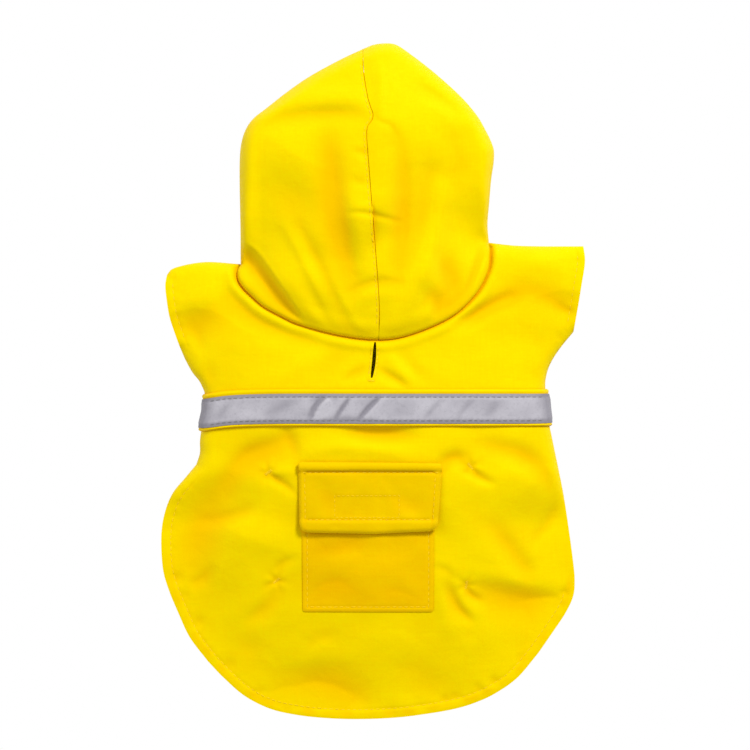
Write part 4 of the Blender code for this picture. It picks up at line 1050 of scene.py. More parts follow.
def hood_half(name, side, look):
    """One half of the hood: seam, crown, folded edge and the under side to the face."""
    seam = spaced(hood_seam) + [side * SEAM_GAP, 0.0]
    if side < 0:
        seam[:, 0] += flange_reach(seam[:, 1])
    fold_run = hood_left_edge if side < 0 else hood_right_edge
    fold = spaced(fold_run)
    face_run = (face_left if side < 0 else face_right) + [side * SEAM_GAP, 0.0]
    neck_edge = moved_left(spaced(neck), SEAM_GAP)
    middle = np.linalg.norm(neck_edge - HOOD_SEAM[-1], axis=1).argmin()
    own = neck_edge[:middle][::-1] if side < 0 else neck_edge[middle + 1:]
    seam[-1] = neck_edge[middle] + [side * SEAM_GAP, 0.0]
    fold[0] = seam[0]
    fold[-1] = own[-1]
    outline = np.vstack([seam, own, fold[::-1][1:-1]])
    layers = [(fold_run, SIDE_STEPS), (neck, NECK_STEPS), (hood_seam, SEAM_STEPS)]
    plan, faces, border = plan_mesh(outline, layers)
    height = hood_height(*plan.T)
    if side < 0:
        height = height - flange_drop(*plan.T)
    top = np.column_stack([plan, height])
    to_neck, place, _ = find_nearest(*plan.T, neck)
    blocked = ease(distance(*plan.T, hood_edge) / 5.0)
    top = top + (push_over(top, to_neck, place) - top) * blocked[:, None]
    fold_index = np.array([border[0]] + border[:len(seam) + len(own) - 2:-1])
    under = under_rows(fold, top[fold_index, 2], face_run)
    rows, columns = under.shape[:2]
    ring = np.arange(rows * columns).reshape(rows, columns) + len(top)
    ring = np.column_stack([fold_index, ring])
    quads = np.stack([ring[:-1, :-1], ring[1:, :-1], ring[1:, 1:], ring[:-1, 1:]], axis=-1)
    under_faces = split_quads(quads.reshape(-1, 4))
    first = {(a, b) for face in faces.tolist() for a, b in zip(face, face[1:] + face[:1])}
    if (int(ring[0, 0]), int(ring[1, 0])) in first:
        under_faces = under_faces[:, ::-1]
    flat = under.reshape(-1, 3)
    to_face = distance(*flat[:, :2].T, face_run)
    lifted = crease_relief(*flat[:, :2].T, HOOD_UNDER_CREASES) * (flat[:, 2] < 0.5)
    lifted = lifted + 0.25 * bell(to_face - FACE_STITCH, 0.9) * (flat[:, 2] < 0.5)
    flat[:, 2] += np.clip(lifted, 0.0, None) * ease(to_face / 4.0)
    points = np.vstack([top, flat])
    rim_cut = np.zeros(len(points))
    rim_cut[border[len(seam):len(seam) + len(own)]] = 1.0
    # painted shade in the hood's troughs: how far each point lies below their smoothed-out form
    smooth = height + np.maximum(0.0, -1.15 * crease_relief(*plan.T, HOOD_CREASES))
    hollow = np.concatenate([hollowness(height, smooth), np.zeros(len(flat))])
    return shell(name, points, np.vstack([faces, under_faces]), CLOTH, look, rim_cut, hollow)


def rear_edge(start, end):
    """The rear edge of one front, sagging a little towards the tail."""
    return smooth_curve([start, (start[0] / 2, start[1] - REAR_SAG), end])


def lower_front_edge(y):
    """Where the lower front ends, to the right of the middle."""
    throat = NECKLINE_LEFT[-1][1]
    return OVERLAP_HALF * ease((throat - OVERLAP_START - y) / OVERLAP_RUN) - GAP


def front_half(name, side, look):
    """One front with the under half of its sleeve; the right one laps over the left."""
    if side < 0:
        outer, shoulder, neckline = join(closed_left, cuff_left), shoulder_left, neckline_left
    else:
        outer, shoulder = join(closed_right, cuff_right), shoulder_right[::-1]
        neckline = neckline_right
    top = join(shoulder, neckline - [0.0, SEAM_GAP])
    levels = np.linspace(outer[0, 1], top[-1, 1], 90)
    lapped = np.column_stack([-side * lower_front_edge(levels), levels])
    top[-1] = lapped[-1]
    rear = rear_edge(outer[0], lapped[0])
    outline = np.vstack([spaced(run, 2.0)[:-1] for run in (rear, lapped, top[::-1], outer[::-1])])
    layers = [(outer, FRONT_STEPS), (lapped, LAP_STEPS), (rear, REAR_STEPS)]
    plan, faces, _ = plan_mesh(outline if side < 0 else outline[::-1], layers, FRONT_SPACING)
    x, y = plan.T
    to_closed = distance_to_sides(x, y)
    height = SEAM_HEIGHT * (1.0 - rounded(to_closed, SEAM_HEIGHT))
    if side > 0:
        rise = ease((lower_front_edge(y) + LAP_RISE_START - x) / LAP_RISE_RUN)
        height = height + OVERLAP_LIFT * rise * ease((NECKLINE_LEFT[-1][1] - y) / OVERLAP_START)
    inner = ease((to_closed - 4.0) / 8.0) * ease((np.abs(x) - 16.0) / 10.0)
    to_top = distance(x, y, top)
    to_rear = distance(x, y, rear)
    inner = inner * ease(to_top / 8.0) * ease(to_rear / 8.0)
    height = height + np.clip(crease_relief(x, y, UNDER_CREASES), 0.0, None) * inner
    rows = 0.3 * bell(to_top - NECKLINE_STITCH, 0.9) * (np.abs(x) < 88.0)
    rows = rows + 0.3 * bell(to_rear - HEM_STITCH, 0.9)
    to_cuff = distance(x, y, cuff_left, cuff_right)
    rows = rows + 0.3 * bell(to_cuff - CUFF_STITCH, 0.9)
    height = height + rows * ease(to_closed / 4.0)
    rim_cut = 1.0 * (to_closed < 0.02)
    points = np.column_stack([x, y, height])
    return shell(name, points, faces[:, ::-1], CLOTH, look, rim_cut)


def waist_strip(name, low, high, look, thickness, profile):
    """A strip across the waist; `profile` gives its height above the back."""
    count = int(round((high - low) / STRIP_ROWS)) + 1
    offsets = np.linspace(low, high, count)
    offsets = np.sort(np.concatenate([offsets, [low + 0.3, high - 0.3]]))
    even = np.linspace(0.0, 1.0, STRIP_COLUMNS)
    shares = even - 0.02 * np.sin(2 * np.pi * even)
    rows = []
    for offset in offsets:
        ends = waist_ends(offset)
        x = ends[0] + shares * (ends[1] - ends[0])
        rows.append(np.column_stack([x, seam_level(x) + offset]))
    plan = np.vstack(rows)
    faces = grid_faces(len(offsets), STRIP_COLUMNS)
    base = np.column_stack([plan, back_form(*plan.T)[0]])
    offset = np.repeat(offsets, STRIP_COLUMNS)
    lift = profile(plan[:, 0], plan[:, 1], offset)
    out = point_normals(base, faces)
    to_closed = distance(*plan.T, closed_left, closed_right)
    closed = 1.0 * (to_closed < 0.02)
    out[:, 2] *= 1.0 - closed
    out = unit(out)
    points = base + lift[:, None] * out
    # painted shade where the strip lies lower: the band's turned edges, the tape's creases and rows
    hollow = np.clip((np.max(lift) - lift) / 1.2, 0.0, 1.0)
    return shell(name, points, faces, thickness, look, closed, hollow)


def band_profile(x, y, offset):
    """The band is turned in at both edges, so they are rolled and stand a little higher."""
    upper = 0.55 * bell(offset - (BAND_TOP - 1.7), 1.3)
    lower = 0.55 * bell(offset - (BAND_BOTTOM + 1.1), 0.9)
    turned = -0.9 * bell(offset - BAND_TOP, 0.55) - 0.9 * bell(offset - BAND_BOTTOM, 0.45)
    ripple = 0.10 * np.sin(x / 5.3 + 1.4 * np.sin(x / 23.0)) * (np.abs(offset) > TAPE_STITCH)
    return BAND_LIFT + upper + lower + turned + ripple


def tape_profile(x, y, offset):
    """The tape is stitched down along both edges and creased between."""
    rows = -0.22 * bell(np.abs(offset) - TAPE_STITCH, 0.7)
    quilt = 0.07 * np.sin(2 * np.pi * x / PITCH) * bell(np.abs(offset) - TAPE_STITCH, 1.6)
    edge = -0.15 * bell(np.abs(offset) - TAPE_HALF, 0.6)
    creases = crease_relief(x, y, TAPE_CREASES) * ease((TAPE_HALF - np.abs(offset)) / 2.0)
    swell = 0.08 * np.sin(x / 11.0 + y / 7.0) + 0.04 * np.sin(x / 4.7 - y / 3.0)
    swell = swell * ease((TAPE_STITCH - np.abs(offset)) / 4.0)
    stand = TAPE_STAND * ease((TAPE_HALF - np.abs(offset)) / 3.5)
    return BAND_LIFT + 0.2 + TAPE + np.maximum(0.35 + rows + quilt + edge + stand + creases + swell, 0.0)


def rounded_corners(corners, rounds, spacing=1.2):
    """A polygon with rounded corners as evenly spaced points."""
    points = np.array(corners, float)
    kept = []
    for before, at, after, radius in zip(np.roll(points, 1, axis=0), points,
                                         np.roll(points, -1, axis=0), rounds):
        if radius <= 0.0:
            kept.append([at])
            continue
        first = at + (before - at) / np.linalg.norm(before - at) * radius
        last = at + (after - at) / np.linalg.norm(after - at) * radius
        t = np.linspace(0.0, 1.0, 9)[:, None]
        kept.append((1 - t) ** 2 * first + 2 * t * (1 - t) * at + t ** 2 * last)
    return spaced(looped(np.vstack(kept)), spacing)[:-1]


def surface_of(base):
    """A search tree of a made piece's faces, in millimetres."""
    count = len(base.data.vertices)
    corners = np.empty(count * 3, np.float32)
    base.data.vertices.foreach_get("co", corners)
    corners = corners.reshape(-1, 3) / MM
    sides = np.empty(len(base.data.polygons) * 3, np.int32)
    base.data.polygons.foreach_get("vertices", sides)
    return BVHTree.FromPolygons(corners.tolist(), sides.reshape(-1, 3).tolist())


def drop_on(tree, plan, below=False):
    """Where points land on a surface from above or from below, with its normals."""
    start, step = (-50.0, 1.0) if below else (100.0, -1.0)
    places, normals = [], []
    for x, y in plan:
        hit, normal, _, _ = tree.ray_cast((x, y, start), (0.0, 0.0, step))
        places.append((x, y, np.nan) if hit is None else tuple(hit))
        normals.append((0.0, 0.0, -step) if hit is None else tuple(normal))
    return np.array(places), np.array(normals)


def make_pocket(back, look):
    """The patch pocket, a little above the back panel."""
    outline = rounded_corners(POCKET_CORNERS, POCKET_ROUNDS)
    closed = looped(outline)
    plan, faces, _ = plan_mesh(outline, [(closed, POCKET_STEPS)], 1.4)
    x, y = plan.T
    to_edge = distance(x, y, closed)
    base = drop_on(surface_of(back), plan)[0][:, 2]
    full = POCKET_FULLNESS * ease(to_edge / 25.0)
    groove = -0.3 * bell(to_edge - POCKET_STITCH, 0.7)
    turned = 0.15 * ease((POCKET_STITCH - to_edge) / 1.0) - 0.45 * bell(to_edge, 0.9)
    creases = (crease_relief(x, y, POCKET_CREASES) + 0.6 * flutter(x, y, 4.0)) * ease(to_edge / 9.0)
    creases = np.maximum(creases, -0.75 * full - 0.1)
    height = base + POCKET_LIFT + TRIM + full + groove + turned + creases
    # painted shade in the pocket's creases
    hollow = np.clip(-creases / 1.5, 0.0, 1.0)
    return shell("pocket_cloth", np.column_stack([plan, height]), faces, TRIM, look, hollow=hollow)


def make_flap(back, look):
    """The flap: a rolled welt along its top and a stitched margin that stands off the pocket."""
    outline = rounded_corners(FLAP_CORNERS, FLAP_ROUNDS, 1.1)
    closed = looped(outline)
    plan, faces, _ = plan_mesh(outline, [(closed, FLAP_STEPS)], 1.2)
    x, y = plan.T
    to_edge = distance(x, y, closed)
    down = FLAP_TOP_Y - y
    base = drop_on(surface_of(back), plan)[0][:, 2]
    over_pocket = POCKET_LIFT + TRIM + 0.3 + POCKET_FULLNESS
    foot = FLAP_FOOT * ease((down - 12.0) / 34.0)
    welt_share = np.clip(np.abs(down - FLAP_WELT / 2) / (FLAP_WELT / 2), 0.0, 1.0)
    welt = FLAP_WELT_RISE * np.sqrt(1.0 - welt_share ** 2) * ease((to_edge + 0.8) / 1.6)
    groove = -0.5 * bell(down - FLAP_WELT - 0.4, 0.9)
    row = -0.4 * bell(y - FLAP_ROW_Y, 0.8) * ease((to_edge - 2.0) / 2.0)
    sides = distance(x, y, *np.array(FLAP_SIDES))
    side_row = -0.35 * bell(sides - FLAP_SIDE_STITCH, 0.8) * (down > FLAP_WELT)
    margin = 0.9 * rounded(FLAP_ROW_Y - y, 4.0) * (y < FLAP_ROW_Y)
    side_margin = 0.4 * bell(sides - 2.0, 1.6) * (down > FLAP_WELT)
    turned = -1.3 * bell(to_edge, 1.1) * (down > FLAP_WELT)
    left, right, low, high = FASTENED_PATCH
    patch_x = np.minimum(x - left, right - x)
    patch_y = np.minimum(y - low, high - y)
    patch = -0.3 * ease((np.minimum(patch_x, patch_y) + 1.0) / 2.0)
    creases = (crease_relief(x, y, FLAP_CREASES) + 0.5 * flutter(x, y, 1.0)) * ease(to_edge / 6.0)
    creases = creases * ease((down - FLAP_WELT) / 3.0)
    height = base + over_pocket + TRIM + foot + welt + groove + row + side_row
    height = height + margin + side_margin + turned + patch + creases
    # painted shade in the flap's grooves, rows of stitches and creases
    hollow = np.clip(-(groove + row + side_row + creases) / 1.5, 0.0, 1.0)
    return shell("flap_cloth", np.column_stack([plan, height]), faces, TRIM, look, hollow=hollow)


def fastener_sides(inset):
    """Left, right, low and high side of the belly fastening, moved in."""
    (width, length), (x, y) = FASTENER_SIZE, FASTENER_CENTRE
    return (x - width / 2 + inset, x + width / 2 - inset, y - length / 2 + inset,
            y + length / 2 - inset)


def fastener(name, level, look):
    """A strip of hook or loop tape inside the belly overlap."""
    left, right, low, high = fastener_sides(0.0)
    corners = [(left, low), (right, low), (right, high), (left, high)]
    outline = rounded_corners(corners, [FASTENER_CORNER] * 4, 1.0)
    plan, faces, _ = plan_mesh(outline, [(looped(outline), FASTENER_STEPS)], 1.3)
    pile = 0.05 * np.sin(plan[:, 0] * 3.1) * np.sin(plan[:, 1] * 2.7)
    points = np.column_stack([plan, level - 0.05 + pile])
    return shell(name, points, faces, FASTENER_THICKNESS, look)


def spindle(sides):
    """A thread of unit length along x and unit radius, thinner towards its ends."""
    rings = [(-0.45, 0.6), (-0.28, 0.95), (0.0, 1.0), (0.28, 0.95), (0.45, 0.6)]
    turn = np.arange(sides) * 2 * np.pi / sides
    points = [(x, r * np.cos(a), r * np.sin(a)) for x, r in rings for a in turn]
    points += [(-0.5, 0.0, 0.0), (0.5, 0.0, 0.0)]
    first, last = len(rings) * sides, len(rings) * sides + 1
    faces = []
    for k in range(sides):
        after = (k + 1) % sides
        for row in range(len(rings) - 1):
            a, b = row * sides + k, row * sides + after
            faces += [(a, a + sides, b + sides), (a, b + sides, b)]
        faces.append((first, k, after))
        end = (len(rings) - 1) * sides
        faces.append((last, end + after, end + k))
    return np.array(points), np.array(faces)


def sewn_row(tree, run, pitch=PITCH, below=False):
    """Where a row of stitches lies: middles, directions and normals."""
    length = travelled(run)[-1]
    count = max(1, int(length / pitch))
    shares = (np.arange(count) + 0.5) / count
    plan = along(run, shares)
    ahead = along(run, np.clip(shares + 0.5 / length, 0.0, 1.0))
    behind = along(run, np.clip(shares - 0.5 / length, 0.0, 1.0))
    place, normal = drop_on(tree, plan, below)
    front, back = drop_on(tree, ahead, below)[0], drop_on(tree, behind, below)[0]
    direction = front - back
    fine = np.isfinite(place[:, 2]) & np.isfinite(direction[:, 2])
    return place[fine], unit(direction[fine]), normal[fine]


def threads(name, rows, look, length=STITCH_LENGTH, radius=STITCH_RADIUS, seed=1):
    """All stitches of some rows joined as one mesh."""
    form, faces = spindle(THREAD_SIDES)
    place, direction, normal = (np.vstack([row[k] for row in rows]) for k in range(3))
    chance = np.random.default_rng(seed)
    count = len(place)
    lengths = length * (1.0 + 0.07 * chance.standard_normal(count))
    across = unit(np.cross(normal, direction))
    turn = 0.05 * chance.standard_normal(count)[:, None]
    direction = direction + turn * across
    across = across - turn * direction
    wander = 0.06 * chance.standard_normal(count)[:, None]
    middle = place + normal * radius * STITCH_SINK + across * wander
    points = (middle[:, None, :] + form[None, :, :1] * lengths[:, None, None] * direction[:, None, :]
              + form[None, :, 1:2] * radius * across[:, None, :]
              + form[None, :, 2:] * radius * 0.8 * normal[:, None, :])
    all_faces = faces[None, :, :] + (np.arange(count) * len(form))[:, None, None]
    return add_mesh(name, points.reshape(-1, 3), all_faces.reshape(-1, 3), look, 80.0)


def straight(*points):
    """A straight or bent run through points, finely divided."""
    return spaced(np.array(points, float), 1.0)


def box_run(left, right, low, high):
    """A run round a rectangle."""
    return straight((left, low), (right, low), (right, high), (left, high), (left, low))


def cuff_runs():
    """Where the left and the right cuff are stitched."""
    return [moved_left(cuff_left, -CUFF_STITCH)[4:-4], moved_left(cuff_right, CUFF_STITCH)[4:-4]]


def tack_rows(tree):
    """Short slanting threads that make each bar tack."""
    rows = []
    for x, y, angle, _ in TACKS:
        c, s = np.cos(np.radians(angle)), np.sin(np.radians(angle))
        for k in range(TACK_THREADS):
            reach = (k - TACK_THREADS // 2) * TACK_SPACING
            middle = np.array([x + reach * c, y + reach * s])
            lean = np.array([-s, c]) + (0.35 if k % 2 else -0.35) * np.array([c, s])
            lean = TACK_HALF * (lean / np.linalg.norm(lean))
            rows.append(sewn_row(tree, straight(middle - lean, middle + lean), 2.4))
    return rows


def body_rows(yoke, back, hood_left):
    """Rows of yellow thread on the coat's upper side."""
    start = np.searchsorted(-hem_run[:, 1], -HEM_ROW_START_Y)
    hem_row = moved_left(smooth_curve(hem_run[start::6]), HEM_STITCH)
    lips = [moved_left(slit, side * SLIT_STITCH) for side in (-1.0, 1.0)]
    foot = np.array(SLIT_BOTTOM) - (0.4, 2.0)
    rows = [sewn_row(back, hem_row[2:-2])]
    rows += [sewn_row(yoke, run) for run in cuff_runs()]
    rows += [sewn_row(yoke, run[2:-4], 2.7) for run in lips]
    rows.append(sewn_row(yoke, straight(foot - (2.2, 0.0), foot + (2.2, 0.0)), 2.2))
    rows.append(sewn_row(hood_left, moved_left(hood_seam, -HOOD_STITCH)[8:-8]))
    return rows


def under_thread_rows(left, right, hood_left, hood_right):
    """Rows of yellow thread on the coat's underside."""
    cuffs = cuff_runs()
    levels = np.linspace(*LAP_ROW_ENDS, 60)
    lap = np.column_stack([lower_front_edge(levels) - LAP_STITCH, levels])
    rears = [rear_edge(run[0], (OVERLAP_HALF, run[0, 1])) for run in (closed_left, closed_right)]
    rows = [
        (left, cuffs[0]),
        (right, cuffs[1]),
        (left, moved_left(neckline_left, -NECKLINE_STITCH)[6:-10]),
        (right, moved_left(neckline_right, NECKLINE_STITCH)[6:-12]),
        (left, moved_left(rears[0], HEM_STITCH)[6:-4]),
        (right, moved_left(rears[1], -HEM_STITCH)[6:-4]),
        (left, lap),
        (left, box_run(*fastener_sides(FASTENER_INSET)), 3.0),
        (hood_left, moved_left(face_left, -FACE_STITCH)[4:-6]),
        (hood_right, moved_left(face_right, FACE_STITCH)[4:-6]),
    ]
    return [sewn_row(*row, below=True) for row in rows]


def pocket_rows(tree):
    """Rows round the pocket's three sewn sides."""
    left, right = POCKET_CORNERS[0][0] + POCKET_STITCH, POCKET_CORNERS[1][0] - POCKET_STITCH
    foot = POCKET_CORNERS[0][1] + POCKET_STITCH
    return [sewn_row(tree, straight((left, POCKET_ROW_TOP), (left, foot), (right, foot),
                                    (right, POCKET_ROW_TOP)))]


def flap_rows(tree):
    """Rows on the flap: below the welt, down the sides and along the lower margin."""
    left = FLAP_ROW_LEFT + FLAP_SIDE_STITCH
    right = FLAP_ROW_RIGHT - FLAP_SIDE_STITCH
    under_welt = FLAP_TOP_Y - FLAP_WELT - 0.7
    return [
        sewn_row(tree, straight((left - 2.5, under_welt), (right + 4.0, under_welt))),
        sewn_row(tree, straight((left, under_welt - 3.0), (left + 0.4, FLAP_ROW_Y))),
        sewn_row(tree, straight((right + 1.2, under_welt - 3.0), (right - 0.4, FLAP_ROW_Y))),
        sewn_row(tree, straight((left + 2.0, FLAP_ROW_Y), (right - 2.0, FLAP_ROW_Y))),
    ]


def patch_rows(tree):
    """The faint rectangle that holds the flap's fastening tape behind it."""
    return [sewn_row(tree, box_run(*FASTENED_PATCH), 3.2)]


def tape_rows(tree):
    """Two rows of stitches along the reflective tape."""
    x = np.linspace(*TAPE_ROW_ENDS, 300)
    return [sewn_row(tree, np.column_stack([x, seam_level(x) + offset]))
            for offset in (-TAPE_STITCH, TAPE_STITCH)]


class Recipe:
    """The nodes of one material."""

    def __init__(self, name):
        self.material = bpy.data.materials.new(name)
        self.material.use_nodes = True
        self.nodes = self.material.node_tree.nodes
        self.links = self.material.node_tree.links
        coords = self.nodes.new("ShaderNodeTexCoord").outputs["Object"]
        self.place = self.add("ShaderNodeMapping", Vector=coords, Scale=(1.0 / MM,) * 3).outputs[0]

    def fill(self, node, inputs):
        """Set a node's inputs, each to a number, a tuple or another node's output."""
        for name, value in inputs.items():
            if isinstance(value, bpy.types.NodeSocket):
                self.links.new(value, node.inputs[name])
            else:
                node.inputs[name].default_value = value
        return node

    def add(self, kind, **inputs):
        """A new node with its inputs set."""
        return self.fill(self.nodes.new(kind), inputs)

    def noise(self, scale, detail=2.0, roughness=0.5, distortion=0.0, place=None):
        """Noise with a scale per millimetre."""
        return self.add("ShaderNodeTexNoise", Vector=self.place if place is None else place,
                        Scale=scale, Detail=detail, Roughness=roughness,
                        Distortion=distortion).outputs["Fac"]

    def streaks(self, stretch):
        """Noise drawn out along one direction of the weave."""
        drawn = self.add("ShaderNodeMapping", Vector=self.place, Scale=stretch)
        return self.noise(0.8, 3.0, 0.6, place=drawn.outputs["Vector"])

    def threads(self, pitch, axis, distortion=0.4):
        """Bands as wide as the cloth's threads."""
        made = self.add("ShaderNodeTexWave", Vector=self.place, Scale=0.314 / pitch,
                        Distortion=distortion, Detail=1.0)
        made.wave_type = "BANDS"
        made.bands_direction = axis
        return made.outputs["Fac"]

    def maths(self, operation, first, second, clamp=False):
        """One sum on two values, each a number or an output."""
        made = self.nodes.new("ShaderNodeMath")
        made.operation = operation
        made.use_clamp = clamp
        return self.fill(made, {0: first, 1: second}).outputs[0]

    def spread(self, value, low, high, new_low, new_high):
        """A value moved from one range to another."""
        ranges = {"Value": value, "From Min": low, "From Max": high, "To Min": new_low,
                  "To Max": new_high}
        return self.fill(self.nodes.new("ShaderNodeMapRange"), ranges).outputs["Result"]

    def blend(self, factor, first, second):
        """Two colours mixed; each is a tuple or an output."""
        made = self.nodes.new("ShaderNodeMix")
        made.data_type = "RGBA"
        first, second = ((*c, 1.0) if isinstance(c, tuple) else c for c in (first, second))
        return self.fill(made, {0: factor, 6: first, 7: second}).outputs[2]

    def shade(self, color, other, most, value, low, high):
        """Blend in another colour, up to `most`, as a value goes from low to high."""
        return self.blend(self.spread(value, low, high, 0.0, most), color, other)

    def bump(self, height, depth, strength=1.0, under=None):
        """A bump `depth` millimetres deep, on top of another."""
        made = self.add("ShaderNodeBump", Height=height, Strength=strength, Distance=depth * MM)
        if under is not None:
            self.links.new(under, made.inputs["Normal"])
        return made.outputs["Normal"]

    def hollow(self):
        """The painted shade stored with the mesh: how deep a point lies in a crease."""
        made = self.nodes.new("ShaderNodeAttribute")
        made.attribute_name = "hollow"
        return made.outputs["Fac"]

    def tilt(self):
        """How far a surface leans from level: 0 level, 1 upright."""
        normal = self.nodes.new("ShaderNodeNewGeometry").outputs["Normal"]
        level = self.add("ShaderNodeSeparateXYZ", Vector=normal).outputs["Z"]
        return self.maths("SUBTRACT", 1.0, level, clamp=True)

    def shelter(self, reach):
        """How sheltered a point is from light: 0 in the open, 1 in a narrow seam, for painted shade."""
        made = self.add("ShaderNodeAmbientOcclusion", Distance=reach * MM)
        made.samples = 6
        return self.maths("SUBTRACT", 1.0, made.outputs["AO"], clamp=True)

    def finish(self, color, roughness, normal, specular, tint):
        """Join everything to the shader."""
        self.fill(self.nodes["Principled BSDF"], {
            "Base Color": color, "Roughness": roughness, "Normal": normal,
            "Specular IOR Level": specular, "Specular Tint": (*tint, 1.0)})
        return self.material


def coated_cloth(name, base, deep, pale):
    """Polyester with a thin rubbery coating: a fine weave shows through as a soft grain."""
    made = Recipe(name)
    color = made.shade(base, pale, 1.0, made.noise(0.016, 3.0), 0.3, 0.7)
    color = made.shade(color, deep, 0.10, made.noise(0.35, 4.0, 0.6), 0.25, 0.75)
    weave = made.maths("MAXIMUM", made.threads(0.55, "X"), made.threads(0.55, "Y"))
    color = made.blend(made.spread(weave, 0.4, 1.0, 0.05, 0.0), color, deep)
    for direction in ((0.9, 0.06, 0.9), (0.06, 0.9, 0.9)):
        color = made.shade(color, deep, 0.13, made.streaks(direction), 0.35, 0.75)
    # painted shade, warm like bounced light: the deep colour in creases, seams and narrow gaps
    color = made.shade(color, deep, 0.62, made.hollow(), 0.0, 1.0)
    color = made.shade(color, deep, 0.90, made.shelter(12.0), 0.10, 0.80)
    crumple = made.bump(made.noise(0.09, 3.0, 0.5, 0.5), 0.35)
    grain = made.bump(made.noise(1.4, 3.0, 0.6), 0.05, under=crumple)
    normal = made.bump(weave, 0.02, 0.6, under=grain)
    roughness = made.spread(made.noise(0.25, 3.0), 0.3, 0.7, 0.46, 0.60)
    return made.finish(color, roughness, normal, 0.16, (1.0, 0.80, 0.0))


def reflective_cloth(name):
    """Grey tape coated with tiny glass beads: satin, with a fine even grain."""
    made = Recipe(name)
    # dark serves the beads and scuffs, and also the painted shade below
    base, pale, dark = (0.41, 0.395, 0.435), (0.50, 0.485, 0.525), (0.18, 0.17, 0.20)
    beads = made.add("ShaderNodeTexVoronoi", Vector=made.place, Scale=3.2).outputs["Distance"]
    color = made.shade(base, pale, 1.0, made.noise(0.05, 4.0, 0.6), 0.3, 0.7)
    color = made.shade(color, dark, 0.16, beads, 0.0, 0.6)
    color = made.shade(color, dark, 0.45, made.noise(0.5, 5.0, 0.7), 0.5, 0.8)
    # painted shade: darker in the tape's creases and rows, where it tilts from level, and in narrow gaps
    color = made.shade(color, dark, 0.8, made.hollow(), 0.5, 1.0)
    color = made.shade(color, dark, 0.7, made.tilt(), 0.03, 0.35)
    color = made.shade(color, dark, 0.7, made.shelter(5.0), 0.2, 0.9)
    ripple = made.bump(made.noise(0.22, 3.0, 0.5, 0.4), 0.12)
    normal = made.bump(beads, 0.03, 0.5, under=ripple)
    roughness = made.spread(made.noise(0.5, 3.0), 0.3, 0.7, 0.46, 0.58)
    return made.finish(color, roughness, normal, 0.3, (1.0, 1.0, 1.0))


def thread_cloth(name, base, deep):
    """Twisted sewing thread."""
    made = Recipe(name)
    twist = made.threads(0.33, "DIAGONAL", 0.6)
    color = made.shade(base, deep, 0.45, twist, 0.0, 1.0)
    normal = made.bump(twist, 0.04)
    roughness = made.spread(made.noise(2.0), 0.3, 0.7, 0.5, 0.65)
    return made.finish(color, roughness, normal, 0.25, (1.0, 0.85, 0.4))


def pile_cloth(name, scale, depth):
    """Hook or loop tape."""
    made = Recipe(name)
    pile = made.noise(scale, 4.0, 0.7)
    color = made.shade((0.78, 0.42, 0.01), (0.95, 0.62, 0.03), 1.0, pile, 0.3, 0.7)
    normal = made.bump(pile, depth)
    roughness = made.spread(pile, 0.3, 0.7, 0.75, 0.95)
    return made.finish(color, roughness, normal, 0.1, (1.0, 0.85, 0.4))


def white_sweep(name):
    """A lit white background that also lights the coat a little, open from below."""
    made = bpy.data.materials.new(name)
    made.use_nodes = True
    nodes, links = made.node_tree.nodes, made.node_tree.links
    shader = nodes["Principled BSDF"]
    shader.inputs["Base Color"].default_value = (0.8, 0.8, 0.8, 1.0)
    shader.inputs["Roughness"].default_value = 0.9
    glow = nodes.new("ShaderNodeEmission")
    glow.inputs["Strength"].default_value = 1.0
    path = nodes.new("ShaderNodeLightPath")
    seen = nodes.new("ShaderNodeMixShader")
    links.new(path.outputs["Is Camera Ray"], seen.inputs[0])
    links.new(shader.outputs[0], seen.inputs[1])
    links.new(glow.outputs[0], seen.inputs[2])
    behind = nodes.new("ShaderNodeNewGeometry")
    clear = nodes.new("ShaderNodeBsdfTransparent")
    open_below = nodes.new("ShaderNodeMixShader")
    links.new(behind.outputs["Backfacing"], open_below.inputs[0])
    links.new(seen.outputs[0], open_below.inputs[1])
    links.new(clear.outputs[0], open_below.inputs[2])
    links.new(open_below.outputs[0], nodes["Material Output"].inputs["Surface"])
    return made


def area_light(name, place, size, power):
    """A round white lamp that points at the coat."""
    lamp = bpy.data.lights.new(name, "AREA")
    lamp.shape = "DISK"
    lamp.size = size
    lamp.energy = power
    made = bpy.data.objects.new(name, lamp)
    made.location = place
    made.rotation_mode = "QUATERNION"
    made.rotation_quaternion = (-Vector(place)).to_track_quat("-Z", "Y")
    bpy.context.scene.collection.objects.link(made)


def set_stage():
    """Camera, lights, world and background."""
    scene = bpy.context.scene
    camera = bpy.data.cameras.new("camera")
    camera.sensor_width = 36.0
    camera.lens = camera.sensor_width * CAMERA_HEIGHT / VIEW_WIDTH
    camera.clip_end = 100.0
    made = bpy.data.objects.new("camera", camera)
    made.location = (*CAMERA_AIM, CAMERA_HEIGHT + STAND_OFF)
    scene.collection.objects.link(made)
    scene.camera = made
    area_light("key", KEY_PLACE, KEY_SIZE, KEY_POWER)
    area_light("fill", FILL_PLACE, FILL_SIZE, FILL_POWER)
    world = bpy.data.worlds.new("world")
    world.use_nodes = True
    sky = world.node_tree.nodes["Background"]
    sky.inputs["Color"].default_value = (1.0, 1.0, 1.0, 1.0)
    sky.inputs["Strength"].default_value = WORLD_STRENGTH
    scene.world = world
    scene.view_settings.view_transform = "Standard"
    bpy.ops.mesh.primitive_grid_add(x_subdivisions=8, y_subdivisions=8, size=FLOOR_SIZE,
                                    location=(0.0, 0.0, -FLOOR_DROP))
    floor = bpy.context.object
    floor.name = "background"
    floor.data.materials.append(white_sweep("white_background"))


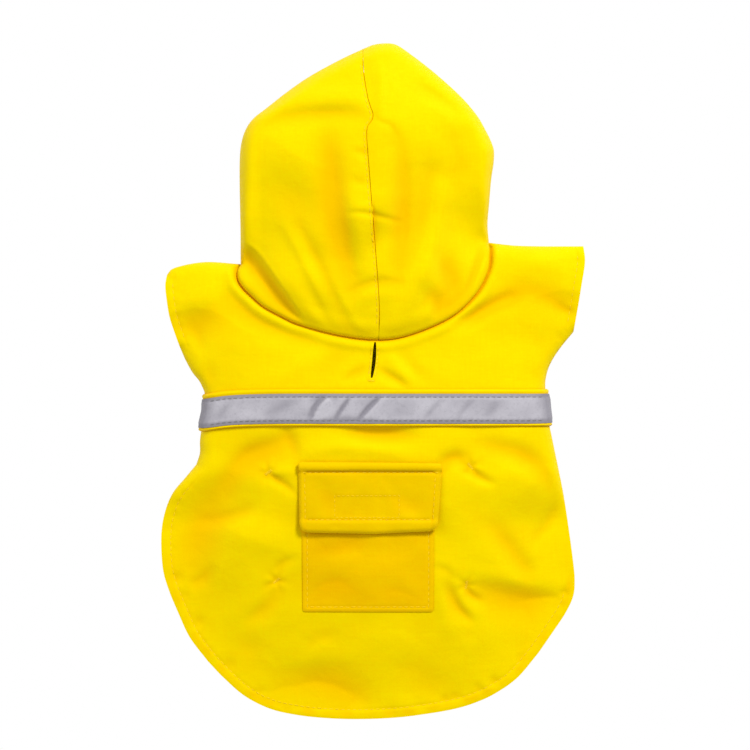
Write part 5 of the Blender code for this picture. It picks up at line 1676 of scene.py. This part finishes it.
def build():
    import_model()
    yellow = coated_cloth("yellow_coated_cloth", *YELLOW)
    pocket_look = coated_cloth("pocket_coated_cloth", *POCKET_YELLOW)
    flap_look = coated_cloth("flap_coated_cloth", *FLAP_YELLOW)
    yellow_thread = thread_cloth("yellow_thread", (0.90, 0.66, 0.02), (0.66, 0.36, 0.0))
    # the tape's stitches are real thread; their dark grey is partly painted shade of the needle holes
    grey_thread_hole_shade = thread_cloth("grey_thread_hole_shade", (0.20, 0.19, 0.19), (0.07, 0.065, 0.065))
    hood_left = hood_half("hood_left_cloth", -1, yellow)
    hood_right = hood_half("hood_right_cloth", 1, yellow)
    yoke = make_yoke(yellow)
    back = make_back(yellow)
    front_left = front_half("front_left_cloth", -1, yellow)
    front_right = front_half("front_right_cloth", 1, yellow)
    band = waist_strip("band_cloth", BAND_BOTTOM, BAND_TOP, yellow, CLOTH, band_profile)
    tape = waist_strip("tape_cloth", -TAPE_HALF, TAPE_HALF, reflective_cloth("reflective_tape"),
                       TAPE, tape_profile)
    pocket = make_pocket(back, pocket_look)
    flap = make_flap(back, flap_look)
    hook = fastener("hook_tape", HOOK_LEVEL, pile_cloth("hook_pile", 1.6, 0.3))
    loop = fastener("loop_tape", LOOP_LEVEL, pile_cloth("loop_pile", 2.2, 0.25))
    trees = {piece.name: surface_of(piece) for piece in
             (hood_left, hood_right, yoke, back, front_left, front_right, pocket, flap, tape)}
    upper = body_rows(trees["yoke_cloth"], trees["back_cloth"], trees["hood_left_cloth"])
    lower = under_thread_rows(trees["front_left_cloth"], trees["front_right_cloth"],
                              trees["hood_left_cloth"], trees["hood_right_cloth"])
    sewn = [
        threads("body_stitches", upper, yellow_thread),
        threads("under_stitches", lower, yellow_thread, seed=2),
        threads("pocket_stitches", pocket_rows(trees["pocket_cloth"]), yellow_thread, seed=3),
        threads("flap_stitches", flap_rows(trees["flap_cloth"]), yellow_thread, seed=4),
        threads("patch_stitches", patch_rows(trees["flap_cloth"]), yellow_thread, 2.2, 0.18, seed=5),
        threads("tack_stitches", tack_rows(trees["back_cloth"]), yellow_thread, 2.3, 0.22, seed=6),
        threads("tape_stitches", tape_rows(trees["tape_cloth"]), grey_thread_hole_shade, seed=7),
    ]
    stands_for = [(hood_left, "hood_left"), (hood_right, "hood_right"), (yoke, "yoke"),
                  (back, "back_panel"), (front_left, "front_left"), (front_right, "front_right"),
                  (band, "stripe_band"), (tape, "reflective_tape"), (pocket, "pocket"),
                  (flap, "pocket_flap"), (hook, "closure_hook"), (loop, "closure_loop")]
    for piece, node in stands_for:
        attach(piece, "root")
        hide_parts(node)
    for piece in sewn:
        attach(piece, "root")
    set_stage()


build()
